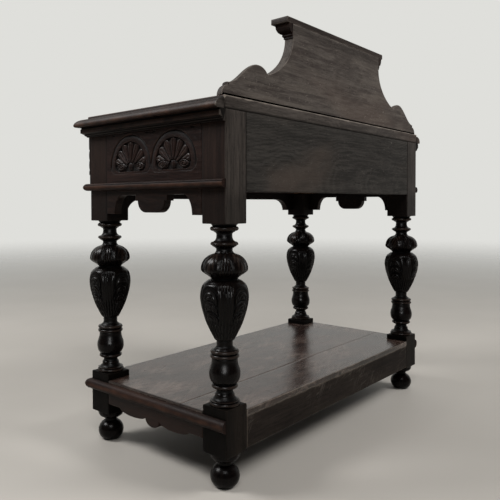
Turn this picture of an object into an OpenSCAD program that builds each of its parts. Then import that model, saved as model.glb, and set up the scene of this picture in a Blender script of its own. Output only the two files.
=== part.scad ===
// Carved oak side table with a raised back, one frieze drawer and an undertier.
// Millimetres. The origin is on the floor under the middle of the table top.
// +X is the right-hand end seen from the front, +Y the back, +Z up.

/* [Frame] */
// Width over the outer faces of the legs
frame_w = 900; // [860:10:960]
// Depth over the outer faces of the legs
frame_d = 435; // [410:5:470]
// Height of the table top's surface above the floor
top_z = 785; // [770:5:815]
// Side of the square stock of the legs
leg_sq = 64; // [60:1:70]
// Length of the square post below the astragal
post_drop = 72; // [66:1:84]
// Length of each tenon
tenon_l = 22; // [14:1:26]
// Thickness of each tenon
tenon_t = 10; // [7:0.5:11]
// Shoulder above and below each tenon
shoulder = 6; // [4:0.5:7]

/* [Turned legs] */
// Height of the top of the lower square block
block_top = 167; // [162:1:178]
// Height of the underside of the lower square block
foot_h = 70; // [64:1:72]
// Largest diameter of the turned cup
cup_d = 100; // [90:1:110]
// Largest diameter of the turned cover above the cup
cover_d = 96; // [84:1:106]
// Diameter of the turned necks
neck_d = 33; // [28:0.5:36]
// Largest diameter of a bun foot
foot_d = 61; // [52:1:64]
// Diameter of the spigot on a foot
spigot_d = 20; // [14:1:24]
// Length of the spigot on a foot
spigot_l = 24; // [16:1:36]

/* [Top and mouldings] */
// Thickness of the table top
top_t = 26.5; // [24:0.5:30]
// Overhang of the table top at the front and the ends
top_over = 29; // [24:0.5:34]
// Width of the moulded edge of the table top
edge_w = 25; // [16:0.5:28]
// Step at the inner side of the moulded edge
edge_step = 6; // [2:0.5:8]
// Height of the cornice under the table top
cornice_h = 24; // [20:1:28]
// Projection of the cornice
cornice_p = 17; // [12:0.5:20]
// Height of the astragal under the frieze
astragal_h = 17; // [14:0.5:20]
// Projection of the astragal
astragal_p = 13.5; // [11:0.5:16]
// Height of the half-round moulding round the undertier
bead_h = 25; // [20:0.5:28]
// Projection of the half-round moulding round the undertier
bead_p = 12.5; // [9:0.5:15]

/* [Frieze and aprons] */
// Height of the frieze between the cornice and the astragal
frieze_h = 112; // [106:1:118]
// Thickness of the end frieze boards and of the rail above the drawer
frieze_t = 22; // [18:0.5:26]
// Thickness of the back panel
back_t = 18; // [15:0.5:22]
// How far the back panel hangs below the astragal
back_drop = 7; // [0:0.5:12]
// Thickness of the aprons
apron_t = 20; // [16:0.5:24]
// Drop of the apron brackets beside the posts
bracket_drop = 55; // [50:1:62]
// Drop of the rounded lobe in the middle of each apron
lobe_drop = 51; // [44:1:58]
// Radius of the corners of that lobe
lobe_r = 26; // [18:1:30]
// Depth of the rail below the drawer
drawer_rail_w = 45; // [36:1:56]
// Projection of the carved blocks on the front posts
carved_block_t = 6; // [4.5:0.5:7]

/* [Lunettes] */
// Outer radius of a carved lunette
lunette_r = 68; // [60:0.5:69]
// Width of the lunette's plain band
lunette_band = 15; // [10:0.5:18]
// Depth of the sunk ground behind the petals
lunette_sink = 4; // [2:0.5:5]
// Distance between the two lunettes of an end
end_pitch = 139; // [137:0.5:142]
// Distance between the lunettes of the drawer front
drawer_pitch = 176; // [168:1:178]
// Number of petals in a lunette
petals = 7; // [5:1:9]
// Width of a petal
petal_w = 12.5; // [6:0.5:13]

/* [Drawer] */
// Running clearance round the drawer
drawer_gap = 0.6; // [0.4:0.1:0.9]
// Room left between the drawer and the back panel
drawer_room = 37; // [20:1:70]
// Thickness of the drawer front
drawer_front_t = 20; // [18:0.5:24]
// Thickness of the drawer's sides and back
drawer_side_t = 12; // [10:0.5:14]
// Thickness of the drawer bottom
drawer_bottom_t = 7; // [5:0.5:8]
// Length of a drawer stop
stop_l = 50; // [30:2:70]
// Height of a drawer stop, below the drawer bottom
stop_h = 6; // [4:0.5:8]
// Height of the guides beside the drawer
guide_h = 30; // [20:1:50]
// Width of a drawer runner and of a kicker
runner_w = 26; // [20:1:34]
// Thickness of a drawer runner
runner_t = 14; // [10:1:15]
// Largest diameter of a knob
knob_d = 30; // [24:1:34]
// Projection of a knob from the drawer front
knob_p = 24; // [18:1:27]
// Diameter of a knob's spigot
knob_spigot_d = 12; // [8:1:14]

/* [Undertier] */
// Height of the undertier's surface above the floor
shelf_z = 153; // [149:1:160]
// Thickness of the undertier's boards
shelf_t = 13; // [11:0.5:18]
// Width of the undertier's front board
shelf_front_w = 306; // [200:2:340]
// Thickness of the rails under the undertier
rail_t = 20; // [16:0.5:24]
// Height of the rear rail
rear_rail_h = 66; // [50:1:68]
// Height of the shaped rails at the cusps between their waves
wave_rail_h = 43; // [36:1:48]

/* [Raised back] */
// Height of the raised back above the table top
gallery_h = 205; // [200:1:230]
// Thickness of the raised back's board
gallery_t = 23; // [18:0.5:26]
// Distance of the raised back from the rear face of the table
gallery_in = 6.5; // [2:0.5:12]
// Half of the board's length at its foot
gallery_x = 455; // [448:1:462]
// Half of the board's width at its neck
gallery_neck_x = 209.5; // [202:0.5:214]
// Distance of the top of each shoulder scroll from the middle
scroll_x = 339; // [334:1:346]
// Height of the top of each shoulder scroll
scroll_h = 77.5; // [70:0.5:84]
// Height at which the hollow sides meet the straight neck
gallery_neck_h = 161.5; // [154:0.5:166]
// Rounding of the front arris of the shoulders
shoulder_round = 19; // [6:1:20]
// Height of the gallery's cornice
gallery_cornice_h = 32; // [28:0.5:34]
// Height of the moulding along the foot of the raised back
base_mould_h = 32; // [28:0.5:36]
// Overhang of the cap past the board
cap_over = 22.5; // [17:0.5:28]
// Thickness of the cap
cap_t = 13; // [10:0.5:16]
// Half length of the moulding along the foot of the raised back
base_mould_x = 385; // [350:1:390]
// Diameter of the dowels under the raised back
dowel_d = 10; // [8:0.5:12]
// Length of each dowel
dowel_l = 36; // [24:1:40]

/* [Hidden] */
$fn = 64;
eps = 0.01;
// clearance round tenons, spigots and dowels, and the loose end of their holes
fit = 0.15;
hole_end = 1;
// how far a tenon runs back into its own rail
root = 2;

under_z = top_z - top_t;
cornice_z = under_z - cornice_h;
frieze_z = cornice_z - frieze_h;
astragal_z = frieze_z - astragal_h;
// the frieze boards and the aprons meet behind the astragal
joint_z = astragal_z + 2;
post_z = astragal_z - post_drop;
shelf_under_z = shelf_z - shelf_t;
bead_z = shelf_z - 5.5 - bead_h;

end_x = frame_w / 2;
top_w = frame_w + 2 * top_over;
top_d = frame_d + top_over;
// the rear cups stand out past the back of the table, and the whole is centred in y
cup_out = (cup_d - leg_sq) / 2;
back_y = (top_d - cup_out) / 2;
front_y = back_y - frame_d;
top_y = back_y - top_d / 2;
mid_y = (front_y + back_y) / 2;
run_x = frame_w - 2 * leg_sq;
run_y = frame_d - 2 * leg_sq;
leg_x = end_x - leg_sq / 2;

gallery_back_y = back_y - gallery_in;
gallery_face_y = gallery_back_y - gallery_t;

polished = "#2b1a14";
turned = "#1c1310";
worn = "#4a2e22";
rough = "#7d7167";
inner = "#8a6a48";

// Points of an elliptical arc
function arc(c, rx, ry, from, to, n = 10) =
    [for (i = [0:n]) let (a = from + (to - from) * i / n) [c.x + rx * cos(a), c.y + ry * sin(a)]];

// Points of an S-curve that leaves and arrives level in x
function s_curve(a, b, n = 10) =
    [for (i = [0:n]) let (t = i / n) [a.x + (b.x - a.x) * (1 - cos(180 * t)) / 2, a.y + (b.y - a.y) * t]];

// Points of an S-curve that leaves and arrives level in y
function ogee(a, b, n = 10) =
    [for (i = [0:n]) let (t = i / n) [a.x + (b.x - a.x) * t, a.y + (b.y - a.y) * (1 - cos(180 * t)) / 2]];

// Points of a turned half-round ring between two heights
function ring(z0, z1, inner_r, outer_r) =
    arc([inner_r, (z0 + z1) / 2], outer_r - inner_r, (z1 - z0) / 2, -90, 90, 8);

// The mirror image of an outline's right half, in reverse order
function left_half(points) = [for (i = [len(points) - 1:-1:0]) [-points[i].x, points[i].y]];

// Places of the four sides: the piece lies along local X, its outer face at y = 0, inside at +y
module at_front() { translate([0, front_y, 0]) children(); }
module at_back() { translate([0, back_y, 0]) mirror([0, 1, 0]) children(); }
module at_right() { translate([end_x, mid_y, 0]) rotate([0, 0, 90]) children(); }
module at_left() { mirror([1, 0, 0]) at_right() children(); }

// A slab in local side coordinates
module slab(run, t, z0, z1) {
    translate([-run / 2, 0, z0]) cube([run, t, z1 - z0]);
}

// An outline in x and z, cut from a board of thickness t
module sawn(points, t) {
    translate([0, t, 0]) rotate([90, 0, 0]) linear_extrude(height = t) polygon(points);
}

// The tenons at both ends of a rail, rooted in its wood; gap makes the mortises
module tenons(run, t, z0, z1, gap = 0) {
    length = gap > 0 ? tenon_l + hole_end : tenon_l;
    for (side = [-1, 1])
        translate([side * (run + length - root) / 2, t / 2, (z0 + z1) / 2])
            cube([length + root, tenon_t + 2 * gap, z1 - z0 - 2 * shoulder + 2 * gap], center = true);
}

// Every joint of the rails with the legs
module joint_end_frieze(gap = 0) { tenons(run_y, frieze_t, joint_z, under_z - shoulder, gap); }
module joint_back(gap = 0) { tenons(run_x, back_t, astragal_z - back_drop, under_z - shoulder, gap); }
module joint_upper_rail(gap = 0) { tenons(run_x, frieze_t, cornice_z, under_z, gap); }
module joint_drawer_rail(gap = 0) { tenons(run_x, drawer_rail_w, joint_z - 3, frieze_z + 3, gap); }
module joint_apron(run, gap = 0) { tenons(run, apron_t, astragal_z - bracket_drop, joint_z - 5, gap); }
module joint_rear_rail(gap = 0) { tenons(run_x, rail_t, shelf_under_z - rear_rail_h, shelf_under_z, gap); }
module joint_wave_rail(run, gap = 0) {
    tenons(run, rail_t, shelf_under_z - wave_rail_h, shelf_under_z, gap);
}

module mortises() {
    at_back() { joint_back(fit); joint_rear_rail(fit); }
    at_front() {
        joint_upper_rail(fit);
        joint_drawer_rail(fit);
        joint_apron(run_x, fit);
        joint_wave_rail(run_x, fit);
    }
    at_left() { joint_end_frieze(fit); joint_apron(run_y, fit); joint_wave_rail(run_y, fit); }
    at_right() { joint_end_frieze(fit); joint_apron(run_y, fit); joint_wave_rail(run_y, fit); }
}

// Turned part of a leg, drawn on a length of 366 and stretched to the real one.
// Radii follow the neck, the cup, the cover and the square stock.
drawn_turning = 366;
function turned_profile() = let (
    neck = neck_d / 2, cup = cup_d / 2, cover = cover_d / 2, half = leg_sq / 2,
    waist = cup * 0.56
) concat(
    [[0, 0]],
    ring(0, 8, half - 4, half - 0.2),
    [[half - 2, 10]],
    arc([half - 2, 20.5], half - 2 - 20, 10.5, -90, -180, 6),
    s_curve([20, 21], [neck, 27], 4),
    s_curve([neck, 30], [23, 34.5], 4),
    ring(34.5, 42.5, 23, 27),
    [[21.5, 43]],
    arc([23.5, 64], 8.5, 19, -80, 0, 8),
    s_curve([32, 65], [26.5, 90], 8),
    [[26.5, 95]],
    ring(95, 103.5, 25, 30),
    ring(104, 112, 24.5, 29.5),
    s_curve([22.5, 112.5], [neck, 119], 5),
    [[neck, 130]],
    // the cup: a taper that fills out to its widest, then a rounded shoulder
    [for (i = [0:14]) let (t = i / 14) [cup - (cup - 20) * pow(1 - t, 1.7), 132 + 87 * t]],
    arc([waist, 219], cup - waist, 35, 8, 90, 10),
    // the cover: a round bulb with a long shoulder
    s_curve([waist, 254.5], [cover, 274.5], 8),
    arc([16, 275.5], cover - 16, 30.5, 0, 72, 12),
    arc([neck + 9, 314], 9, 9, 250, 180, 5),
    s_curve([neck, 315], [25.5, 322.5], 4),
    ring(322.5, 328.5, 25.5, 28.5),
    arc([26.5, 339.5], 26.5 - neck, 10.5, -90, -180, 6),
    [[neck - 0.5, 345]],
    s_curve([neck, 346], [23, 351.5], 4),
    ring(351.5, 360.5, 24, 29.3),
    [[24, 361], [28, drawn_turning], [0, drawn_turning]]
);

module leg_blank() {
    translate([0, 0, foot_h]) translate([-leg_sq / 2, -leg_sq / 2, 0])
        cube([leg_sq, leg_sq, block_top - foot_h]);
    stretch = (post_z - block_top) / drawn_turning;
    rotate_extrude() polygon([for (p = turned_profile()) [p.x, block_top + p.y * stretch]]);
    translate([-leg_sq / 2, -leg_sq / 2, post_z]) cube([leg_sq, leg_sq, under_z - post_z]);
}

module leg(sx, y) {
    color(turned) difference() {
        translate([sx * leg_x, y, 0]) leg_blank();
        mortises();
        translate([sx * leg_x, y, foot_h - eps])
            cylinder(d = spigot_d + 2 * fit, h = spigot_l + hole_end);
    }
}
module front_left_leg() { leg(-1, front_y + leg_sq / 2); }
module front_right_leg() { leg(1, front_y + leg_sq / 2); }
module rear_left_leg() { leg(-1, back_y - leg_sq / 2); }
module rear_right_leg() { leg(1, back_y - leg_sq / 2); }

// Bun foot: a squashed ball, a neck and a collar that meets the block
module foot(sx, y) {
    ball_r = foot_d / 2;
    ball_h = 0.64 * foot_h;
    cut = 52;
    crown = 61;
    ball_ry = ball_h / (sin(cut) + sin(crown));
    collar_z = 0.77 * foot_h;
    neck_r = 14.5;
    color(turned) translate([sx * leg_x, y, 0]) {
        rotate_extrude() polygon(concat(
            [[0, 0]],
            arc([0, ball_ry * sin(cut)], ball_r, ball_ry, -cut, crown, 18),
            [[neck_r, ball_h], [neck_r, collar_z - 3], [neck_r + 2, collar_z]],
            arc([neck_r + 3, foot_h - 4], 13, foot_h - 4 - collar_z, -90, 0, 6),
            [[neck_r + 16, foot_h], [0, foot_h]]
        ));
        translate([0, 0, foot_h - eps]) cylinder(d = spigot_d, h = spigot_l + eps);
    }
}
module front_left_foot() { foot(-1, front_y + leg_sq / 2); }
module front_right_foot() { foot(1, front_y + leg_sq / 2); }
module rear_left_foot() { foot(-1, back_y - leg_sq / 2); }
module rear_right_foot() { foot(1, back_y - leg_sq / 2); }

// Moulded edge of the top, from the upper arris to the underside; x runs outwards
nose_drop = 4.5;
function top_edge(outer) = concat(
    [[outer - edge_w, 0], [outer - edge_w, -edge_step]],
    arc([outer - edge_w, nose_drop - top_t], edge_w, top_t - nose_drop - edge_step, 86, 0, 12),
    arc([outer - 5.5, nose_drop - top_t], 5.5, nose_drop, -15, -90, 5)
);

// The top is the crossing of two lengths, one moulded on both ends, the other at the front only
module table_top() {
    right = top_edge(top_w / 2);
    front = top_edge(top_d / 2);
    color(polished) difference() {
        translate([0, top_y, top_z]) intersection() {
            rotate([90, 0, 0]) linear_extrude(height = top_d, center = true)
                polygon(concat(left_half([for (i = [len(right) - 1:-1:0]) right[i]]),
                    [for (i = [len(right) - 1:-1:0]) right[i]]));
            rotate([90, 0, -90]) linear_extrude(height = top_w, center = true)
                polygon(concat([[-top_d / 2, -top_t], [-top_d / 2, 0]], front));
        }
        dowels(fit);
    }
}

// A moulding run round the front and the ends, mitred at the front corners and cut flush at the
// back. The profile is x outwards from the wood's face and y up; hx and y0 place the inner corner.
module mitred_front(profile, hx, y0, z, reach) {
    translate([0, 0, z]) intersection() {
        translate([0, y0, 0]) rotate([90, 0, -90])
            linear_extrude(height = 2 * (hx + reach), center = true) polygon(profile);
        linear_extrude(height = 100, center = true)
            polygon([[-hx, y0], [hx, y0], [hx + reach, y0 - reach], [-hx - reach, y0 - reach]]);
    }
}
module mitred_end(profile, hx, y0, y1, z, reach) {
    translate([0, 0, z]) intersection() {
        translate([hx, y1, 0]) rotate([90, 0, 0])
            linear_extrude(height = y1 - y0 + reach) polygon(profile);
        linear_extrude(height = 100, center = true)
            polygon([[hx, y0], [hx + reach, y0 - reach], [hx + reach, y1], [hx, y1]]);
    }
}

function cornice_profile() = concat(
    [[0, 0]],
    ogee([3.5, 0], [cornice_p, cornice_h * 0.42], 8),
    [[cornice_p, cornice_h], [0, cornice_h]]
);
module cornice_front() { color(polished) mitred_front(cornice_profile(), end_x, front_y, cornice_z, 40); }
module cornice_right() {
    color(polished) mitred_end(cornice_profile(), end_x, front_y, back_y, cornice_z, 40);
}
module cornice_left() { mirror([1, 0, 0]) cornice_right(); }

// A fillet that carries a half round
function astragal_profile() = let (half = astragal_h / 2, fillet = astragal_p - 8.5) concat(
    [[0, 0]], arc([fillet, half], 8.5, half, -90, 90, 12), [[0, astragal_h]]
);
module astragal_front() { color(worn) mitred_front(astragal_profile(), end_x, front_y, astragal_z, 40); }
module astragal_right() {
    color(worn) mitred_end(astragal_profile(), end_x, front_y, back_y, astragal_z, 40);
}
module astragal_left() { mirror([1, 0, 0]) astragal_right(); }

function bead_profile() = arc([0, bead_h / 2], bead_p, bead_h / 2, -90, 90, 14);
module shelf_bead_front() { color(worn) mitred_front(bead_profile(), end_x, front_y, bead_z, 40); }
module shelf_bead_right() {
    color(worn) mitred_end(bead_profile(), end_x, front_y, back_y, bead_z, 40);
}
module shelf_bead_left() { mirror([1, 0, 0]) shelf_bead_right(); }

// A pointed petal as the overlap of two circles, lying along +Y from the origin
module petal(length) {
    r = (length * length + petal_w * petal_w) / (4 * petal_w);
    intersection_for(side = [-1, 1])
        translate([side * (r - petal_w / 2), length / 2]) circle(r = r);
}

// An arch: a half circle above, closed below by a level line with rounded corners
module arch_shape(r, foot) {
    intersection() {
        circle(r = r);
        translate([-r, 0]) square([2 * r, r]);
    }
    hull() for (side = [-1, 1]) translate([side * (r - foot), 0]) circle(r = foot);
}

// A flattened ring with an eye, for the scroll on one side of a lunette's foot
module scroll_shape() {
    scale([1.75, 1]) {
        difference() {
            circle(r = 9.2);
            circle(r = 6.2);
        }
        circle(r = 3.4);
    }
}

// Lunette: a fan of petals over a bud and two scrolls in a sunk ground, with a sunk line round it.
// The origin is the centre of its half circle.
lunette_foot = 18.5;
foot_band = 5;
petal_lean = 23.4;
fan_drop = 7;
fan_start = 16;
module lunette_ground() {
    ground_r = lunette_r - lunette_band;
    tip_r = ground_r - 1.5;
    linear_extrude(height = lunette_sink + 1) difference() {
        arch_shape(ground_r, lunette_foot - foot_band);
        for (i = [0:petals - 1]) {
            a = petal_lean * (i - (petals - 1) / 2);
            reach = fan_drop * cos(a) + sqrt(tip_r * tip_r - pow(fan_drop * sin(a), 2));
            translate([0, -fan_drop]) rotate(-a) translate([0, fan_start]) petal(reach - fan_start);
        }
        for (side = [-1, 1]) translate([side * 31.5, -3.5]) scroll_shape();
        translate([0, -3]) scale([0.9, 1]) circle(r = 10);
    }
    translate([0, 0, lunette_sink * 2 / 3]) linear_extrude(height = 1 + lunette_sink / 3) difference() {
        arch_shape(lunette_r, lunette_foot);
        arch_shape(lunette_r - 2, lunette_foot - 2);
    }
}

// Lunettes cut into the outer face of a board at the given places along it
lunette_z = frieze_z + 38.5;
module lunettes(places) {
    for (x = places)
        translate([x, lunette_sink, lunette_z]) rotate([90, 0, 0]) lunette_ground();
}

module end_frieze() {
    difference() {
        slab(run_y, frieze_t, joint_z, under_z);
        lunettes([-end_pitch / 2, end_pitch / 2]);
    }
    joint_end_frieze();
}
module end_frieze_right() { color(polished) at_right() end_frieze(); }
module end_frieze_left() { color(polished) at_left() end_frieze(); }

module back_panel() {
    color(rough) at_back() {
        slab(run_x, back_t, astragal_z - back_drop, under_z);
        joint_back();
    }
}

module upper_front_rail() {
    color(polished) at_front() {
        slab(run_x, frieze_t, cornice_z, under_z);
        joint_upper_rail();
    }
}

module drawer_rail() {
    color(polished) at_front() {
        slab(run_x, drawer_rail_w, joint_z, frieze_z);
        joint_drawer_rail();
    }
}

// Apron outline: a lobe in the middle, a level arch each side of it and a curved bracket
// against each post
function apron_outline(run, lobe_flat, arch_drop, curve_w, bracket_w) = let (
    half = concat(
        [[lobe_flat / 2, -lobe_drop]],
        arc([lobe_flat / 2, lobe_r - lobe_drop], lobe_r, lobe_r, -80, 0, 8),
        [[lobe_flat / 2 + lobe_r + 8, lobe_r - lobe_drop], [lobe_flat / 2 + lobe_r + 8, -arch_drop]],
        arc([run / 2 - bracket_w - curve_w, -bracket_drop], curve_w, bracket_drop - arch_drop, 90, 0, 12),
        [[run / 2, -bracket_drop], [run / 2, joint_z - astragal_z]]
    )
) concat(half, left_half(half));

module apron(run, lobe_flat, arch_drop, curve_w, bracket_w) {
    translate([0, 0, astragal_z])
        sawn(apron_outline(run, lobe_flat, arch_drop, curve_w, bracket_w), apron_t);
    joint_apron(run);
}
module apron_right() { color(polished) at_right() apron(run_y, 36, 12, 27, 28.5); }
module apron_left() { color(polished) at_left() apron(run_y, 36, 12, 27, 28.5); }
module apron_front() { color(polished) at_front() apron(run_x, 60, 19, 52, 34); }

// Applied block on the face of a front post: smooth above, three overlapping scales below, and a
// plain foot that stands back. The profile is x outwards and y up.
scale_h = 23.5;
scale_notch = 2.5;
function carved_block_profile() = let (
    t = carved_block_t,
    first = frieze_h - 31 - 3 * scale_h
) concat(
    [[0, 0], [t - 3, 0], [t - 3, first + scale_h / 2]],
    arc([t - scale_notch, first + scale_h / 2], scale_notch, scale_h / 2, 0, 80, 5),
    arc([t - scale_notch, first + scale_h * 3 / 2], scale_notch, scale_h / 2, -80, 80, 8),
    arc([t - scale_notch, first + scale_h * 5 / 2], scale_notch, scale_h / 2, -80, 80, 8),
    arc([t - scale_notch, frieze_h - 31 + 8], scale_notch, 8, -80, 0, 4),
    [[t, frieze_h], [0, frieze_h]]
);
module carved_block(sx) {
    color(polished) translate([sx * leg_x, front_y, frieze_z]) rotate([90, 0, -90])
        linear_extrude(height = leg_sq, center = true) polygon(carved_block_profile());
}
module carved_block_left() { carved_block(-1); }
module carved_block_right() { carved_block(1); }

// The drawer
drawer_x = run_x / 2 - drawer_gap;
drawer_z = frieze_z + drawer_gap;
drawer_front_h = frieze_h - 2 * drawer_gap;
drawer_side_h = drawer_front_h - 4;
drawer_len = frame_d - back_t - drawer_room;
drawer_end_y = front_y + drawer_len;
groove_z = drawer_z + 9;
groove_d = 6;
// the front is lapped over the ends of the dovetails
lap = 5;
tail_w = 24;

// Three tails on the front end of a drawer side, along +Y from the lap, centred in x
module tails(gap = 0) {
    tail_l = drawer_front_t - lap;
    for (i = [0:2])
        translate([-drawer_side_t / 2 - gap, front_y + lap, drawer_z + drawer_side_h * (2 * i + 1) / 6])
            rotate([90, 0, 90]) linear_extrude(height = drawer_side_t + 2 * gap)
                polygon([
                    [-gap, -tail_w / 2 - gap], [-gap, tail_w / 2 + gap],
                    [tail_l + gap, tail_w / 2 - 3 + gap], [tail_l + gap, 3 - tail_w / 2 - gap]
                ]);
}

module drawer_front() {
    color(polished) difference() {
        translate([-drawer_x, front_y, drawer_z]) cube([2 * drawer_x, drawer_front_t, drawer_front_h]);
        at_front() lunettes([for (i = [-1.5:1:1.5]) i * drawer_pitch]);
        for (side = [-1, 1]) {
            translate([side * (drawer_x - drawer_side_t / 2), 0, 0]) tails(fit);
            translate([side * drawer_pitch, front_y + drawer_front_t + eps, knob_z]) rotate([90, 0, 0])
                cylinder(d = knob_spigot_d + 2 * fit, h = drawer_front_t + 2 * eps);
        }
        bottom_board(fit);
    }
}

module drawer_side(sx) {
    color(inner) difference() {
        translate([sx * (drawer_x - drawer_side_t / 2), 0, 0]) {
            translate([-drawer_side_t / 2, front_y + drawer_front_t, drawer_z])
                cube([drawer_side_t, drawer_len - drawer_front_t, drawer_side_h]);
            tails();
        }
        bottom_board(fit);
        back_board(fit);
    }
}
module drawer_side_left() { drawer_side(-1); }
module drawer_side_right() { drawer_side(1); }

// The back stands on the bottom, in a housing in each side
module back_board(gap = 0) {
    half = drawer_x - drawer_side_t + groove_d + gap;
    back_z = groove_z + drawer_bottom_t;
    translate([-half, drawer_end_y - 10 - drawer_side_t - gap, back_z - gap])
        cube([2 * half, drawer_side_t + 2 * gap, drawer_z + drawer_side_h - back_z + 2 * gap]);
}
module drawer_back() { color(inner) back_board(); }

// The bottom runs in grooves in the sides and the front
module bottom_board(gap = 0) {
    half = drawer_x - drawer_side_t + groove_d + gap;
    front = front_y + drawer_front_t - groove_d - gap;
    translate([-half, front, groove_z - gap])
        cube([2 * half, drawer_end_y + gap - front, drawer_bottom_t + 2 * gap]);
}
module drawer_bottom() { color(inner) bottom_board(); }

// Turned knob with a spigot through the drawer front
knob_z = frieze_z + frieze_h / 2;
module knob(sx) {
    r = knob_d / 2;
    color(turned) translate([sx * drawer_pitch, front_y, knob_z]) rotate([90, 0, 0]) {
        rotate_extrude() polygon(concat(
            [[0, 0]],
            arc([r * 0.7, 2], r * 0.13, 2, -90, 90, 6),
            s_curve([r * 0.66, 4.5], [r * 0.48, knob_p * 0.4], 5),
            arc([0, knob_p * 0.7], r, knob_p * 0.3, -60, 90, 14)
        ));
        translate([0, 0, -drawer_front_t]) cylinder(d = knob_spigot_d, h = drawer_front_t + eps);
    }
}
module knob_left() { knob(-1); }
module knob_right() { knob(1); }

// Runner under a drawer side, with the guide that fills out to the end frieze
module runner(sx) {
    inside_y = back_y - back_t;
    color(inner) {
        translate([sx > 0 ? run_x / 2 - runner_w : -run_x / 2, front_y + drawer_rail_w, frieze_z - runner_t])
            cube([runner_w, inside_y - front_y - drawer_rail_w, runner_t]);
        translate([
            sx > 0 ? run_x / 2 : frieze_t - end_x,
            mid_y - run_y / 2,
            frieze_z - runner_t
        ]) cube([end_x - frieze_t - run_x / 2, run_y, runner_t + guide_h]);
    }
}
module runner_left() { runner(-1); }
module runner_right() { runner(1); }

// Kickers over the drawer sides, from behind the drawer front to the back panel
module kickers() {
    kicker_z = drawer_z + drawer_side_h + drawer_gap;
    start = max(frieze_t, drawer_front_t + 1);
    color(inner) for (sx = [-1, 1])
        translate([sx * (run_x / 2 - runner_w / 2) - runner_w / 2, front_y + start, kicker_z])
            cube([runner_w, frame_d - start - back_t, under_z - kicker_z]);
}

// Two stops on the drawer rail, behind the lower edge of the drawer front
module drawer_stops() {
    color(inner) for (sx = [-1, 1])
        translate([sx * run_x / 4 - stop_l / 2, front_y + drawer_front_t + drawer_gap, frieze_z])
            cube([stop_l, drawer_rail_w - drawer_front_t - drawer_gap, stop_h]);
}

// Triangular glue blocks in the corners under the top, behind the drawer and at the ends
block_side = 18;
block_len = 60;
module glue_block() {
    rotate([90, 0, 90]) linear_extrude(height = block_len, center = true)
        polygon([[0, 0], [block_side, 0], [0, -block_side]]);
}
module glue_blocks() {
    color(inner) {
        for (x = [-220, 0, 220])
            translate([x, back_y - back_t, under_z]) mirror([0, 1, 0]) glue_block();
        for (sx = [-1, 1], y = [-run_y / 4, run_y / 4])
            translate([sx * (end_x - frieze_t), mid_y + y, under_z]) rotate([0, 0, sx * 90]) glue_block();
    }
}

// Undertier boards, notched round the blocks of the legs
module shelf_board(y0, y1) {
    color(polished) difference() {
        translate([-end_x, y0, shelf_under_z]) cube([frame_w, y1 - y0, shelf_t]);
        for (sx = [-1, 1], y = [front_y + leg_sq / 2, back_y - leg_sq / 2])
            translate([sx * (leg_x + leg_sq), y, shelf_z])
                cube([3 * leg_sq + 2 * fit, leg_sq + 2 * fit, 3 * shelf_t], center = true);
        for (sx = [-1, 1], y = [front_y, back_y])
            translate([sx * end_x, y, shelf_z])
                cube([2 * (leg_sq + fit), 2 * (leg_sq + fit), 3 * shelf_t], center = true);
    }
}
shelf_seam_y = front_y + shelf_front_w;
module shelf_front_board() { shelf_board(front_y, shelf_seam_y); }
module shelf_rear_board() { shelf_board(shelf_seam_y, back_y); }

module rear_lower_rail() {
    color(rough) at_back() {
        slab(run_x, rail_t, shelf_under_z - rear_rail_h, shelf_under_z);
        joint_rear_rail();
    }
}

// Lower rail with a waved edge: shallow swells with round lobes between them
lobe_w = 46;
lobe_hang = 17.5;
swell_hang = 10;
rail_flat = 42;
function waves(run, lobes, i = 0) = let (
    swell = (run - 2 * rail_flat - lobes * lobe_w) / (lobes + 1),
    x = rail_flat - run / 2 + i * (swell + lobe_w)
) concat(
    arc([x + swell / 2, 0], swell / 2, swell_hang, 180, 360, 12),
    i < lobes ? arc([x + swell + lobe_w / 2, 0], lobe_w / 2, lobe_hang, 180, 360, 12) : [],
    i < lobes ? waves(run, lobes, i + 1) : []
);
module wave_rail(run, lobes) {
    translate([0, 0, shelf_under_z - wave_rail_h]) sawn(concat(
        [[-run / 2, wave_rail_h], [-run / 2, 0]],
        waves(run, lobes),
        [[run / 2, 0], [run / 2, wave_rail_h]]
    ), rail_t);
    joint_wave_rail(run);
}
module lower_rail_front() { color(polished) at_front() wave_rail(run_x, 5); }
module lower_rail_right() { color(polished) at_right() wave_rail(run_y, 1); }
module lower_rail_left() { color(polished) at_left() wave_rail(run_y, 1); }

// Raised back: the middle has a straight neck under the cap and hollow sides that end in a notch
notch_x = scroll_x - 36;
notch_h = scroll_h - 15;
hollow_turn = 66;
function gallery_middle() = let (
    rx = (notch_x - gallery_neck_x) / (1 - cos(hollow_turn)),
    ry = (gallery_neck_h - notch_h) / sin(hollow_turn)
) concat(
    [[notch_x, 0]],
    arc([gallery_neck_x + rx, gallery_neck_h], rx, ry, hollow_turn - 180, -180, 14),
    [[gallery_neck_x, gallery_h - cap_t]]
);

// Beyond the notch each shoulder has a scroll, a long S and a quarter round at the end. The outline
// is drawn in from the end and from the top by inset, and laps 15 into the middle.
function shoulder(inset) = let (
    kx = 1 - inset / (gallery_x - notch_x),
    kz = 1 - inset / scroll_h,
    outline = concat(
        arc([gallery_x - 18, 0], 18, 21.5, 0, 90, 8),
        ogee([gallery_x - 17.5, 28], [scroll_x, scroll_h], 14),
        arc([scroll_x - 3, scroll_h - 25.5], 34, 25.5, 90, 155, 7)
    )
) concat(
    [[notch_x - 15, 0]],
    [for (p = outline) [notch_x + (p.x - notch_x) * kx, p.y * kz]],
    [[notch_x - 15, notch_h * kz]]
);

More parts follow.
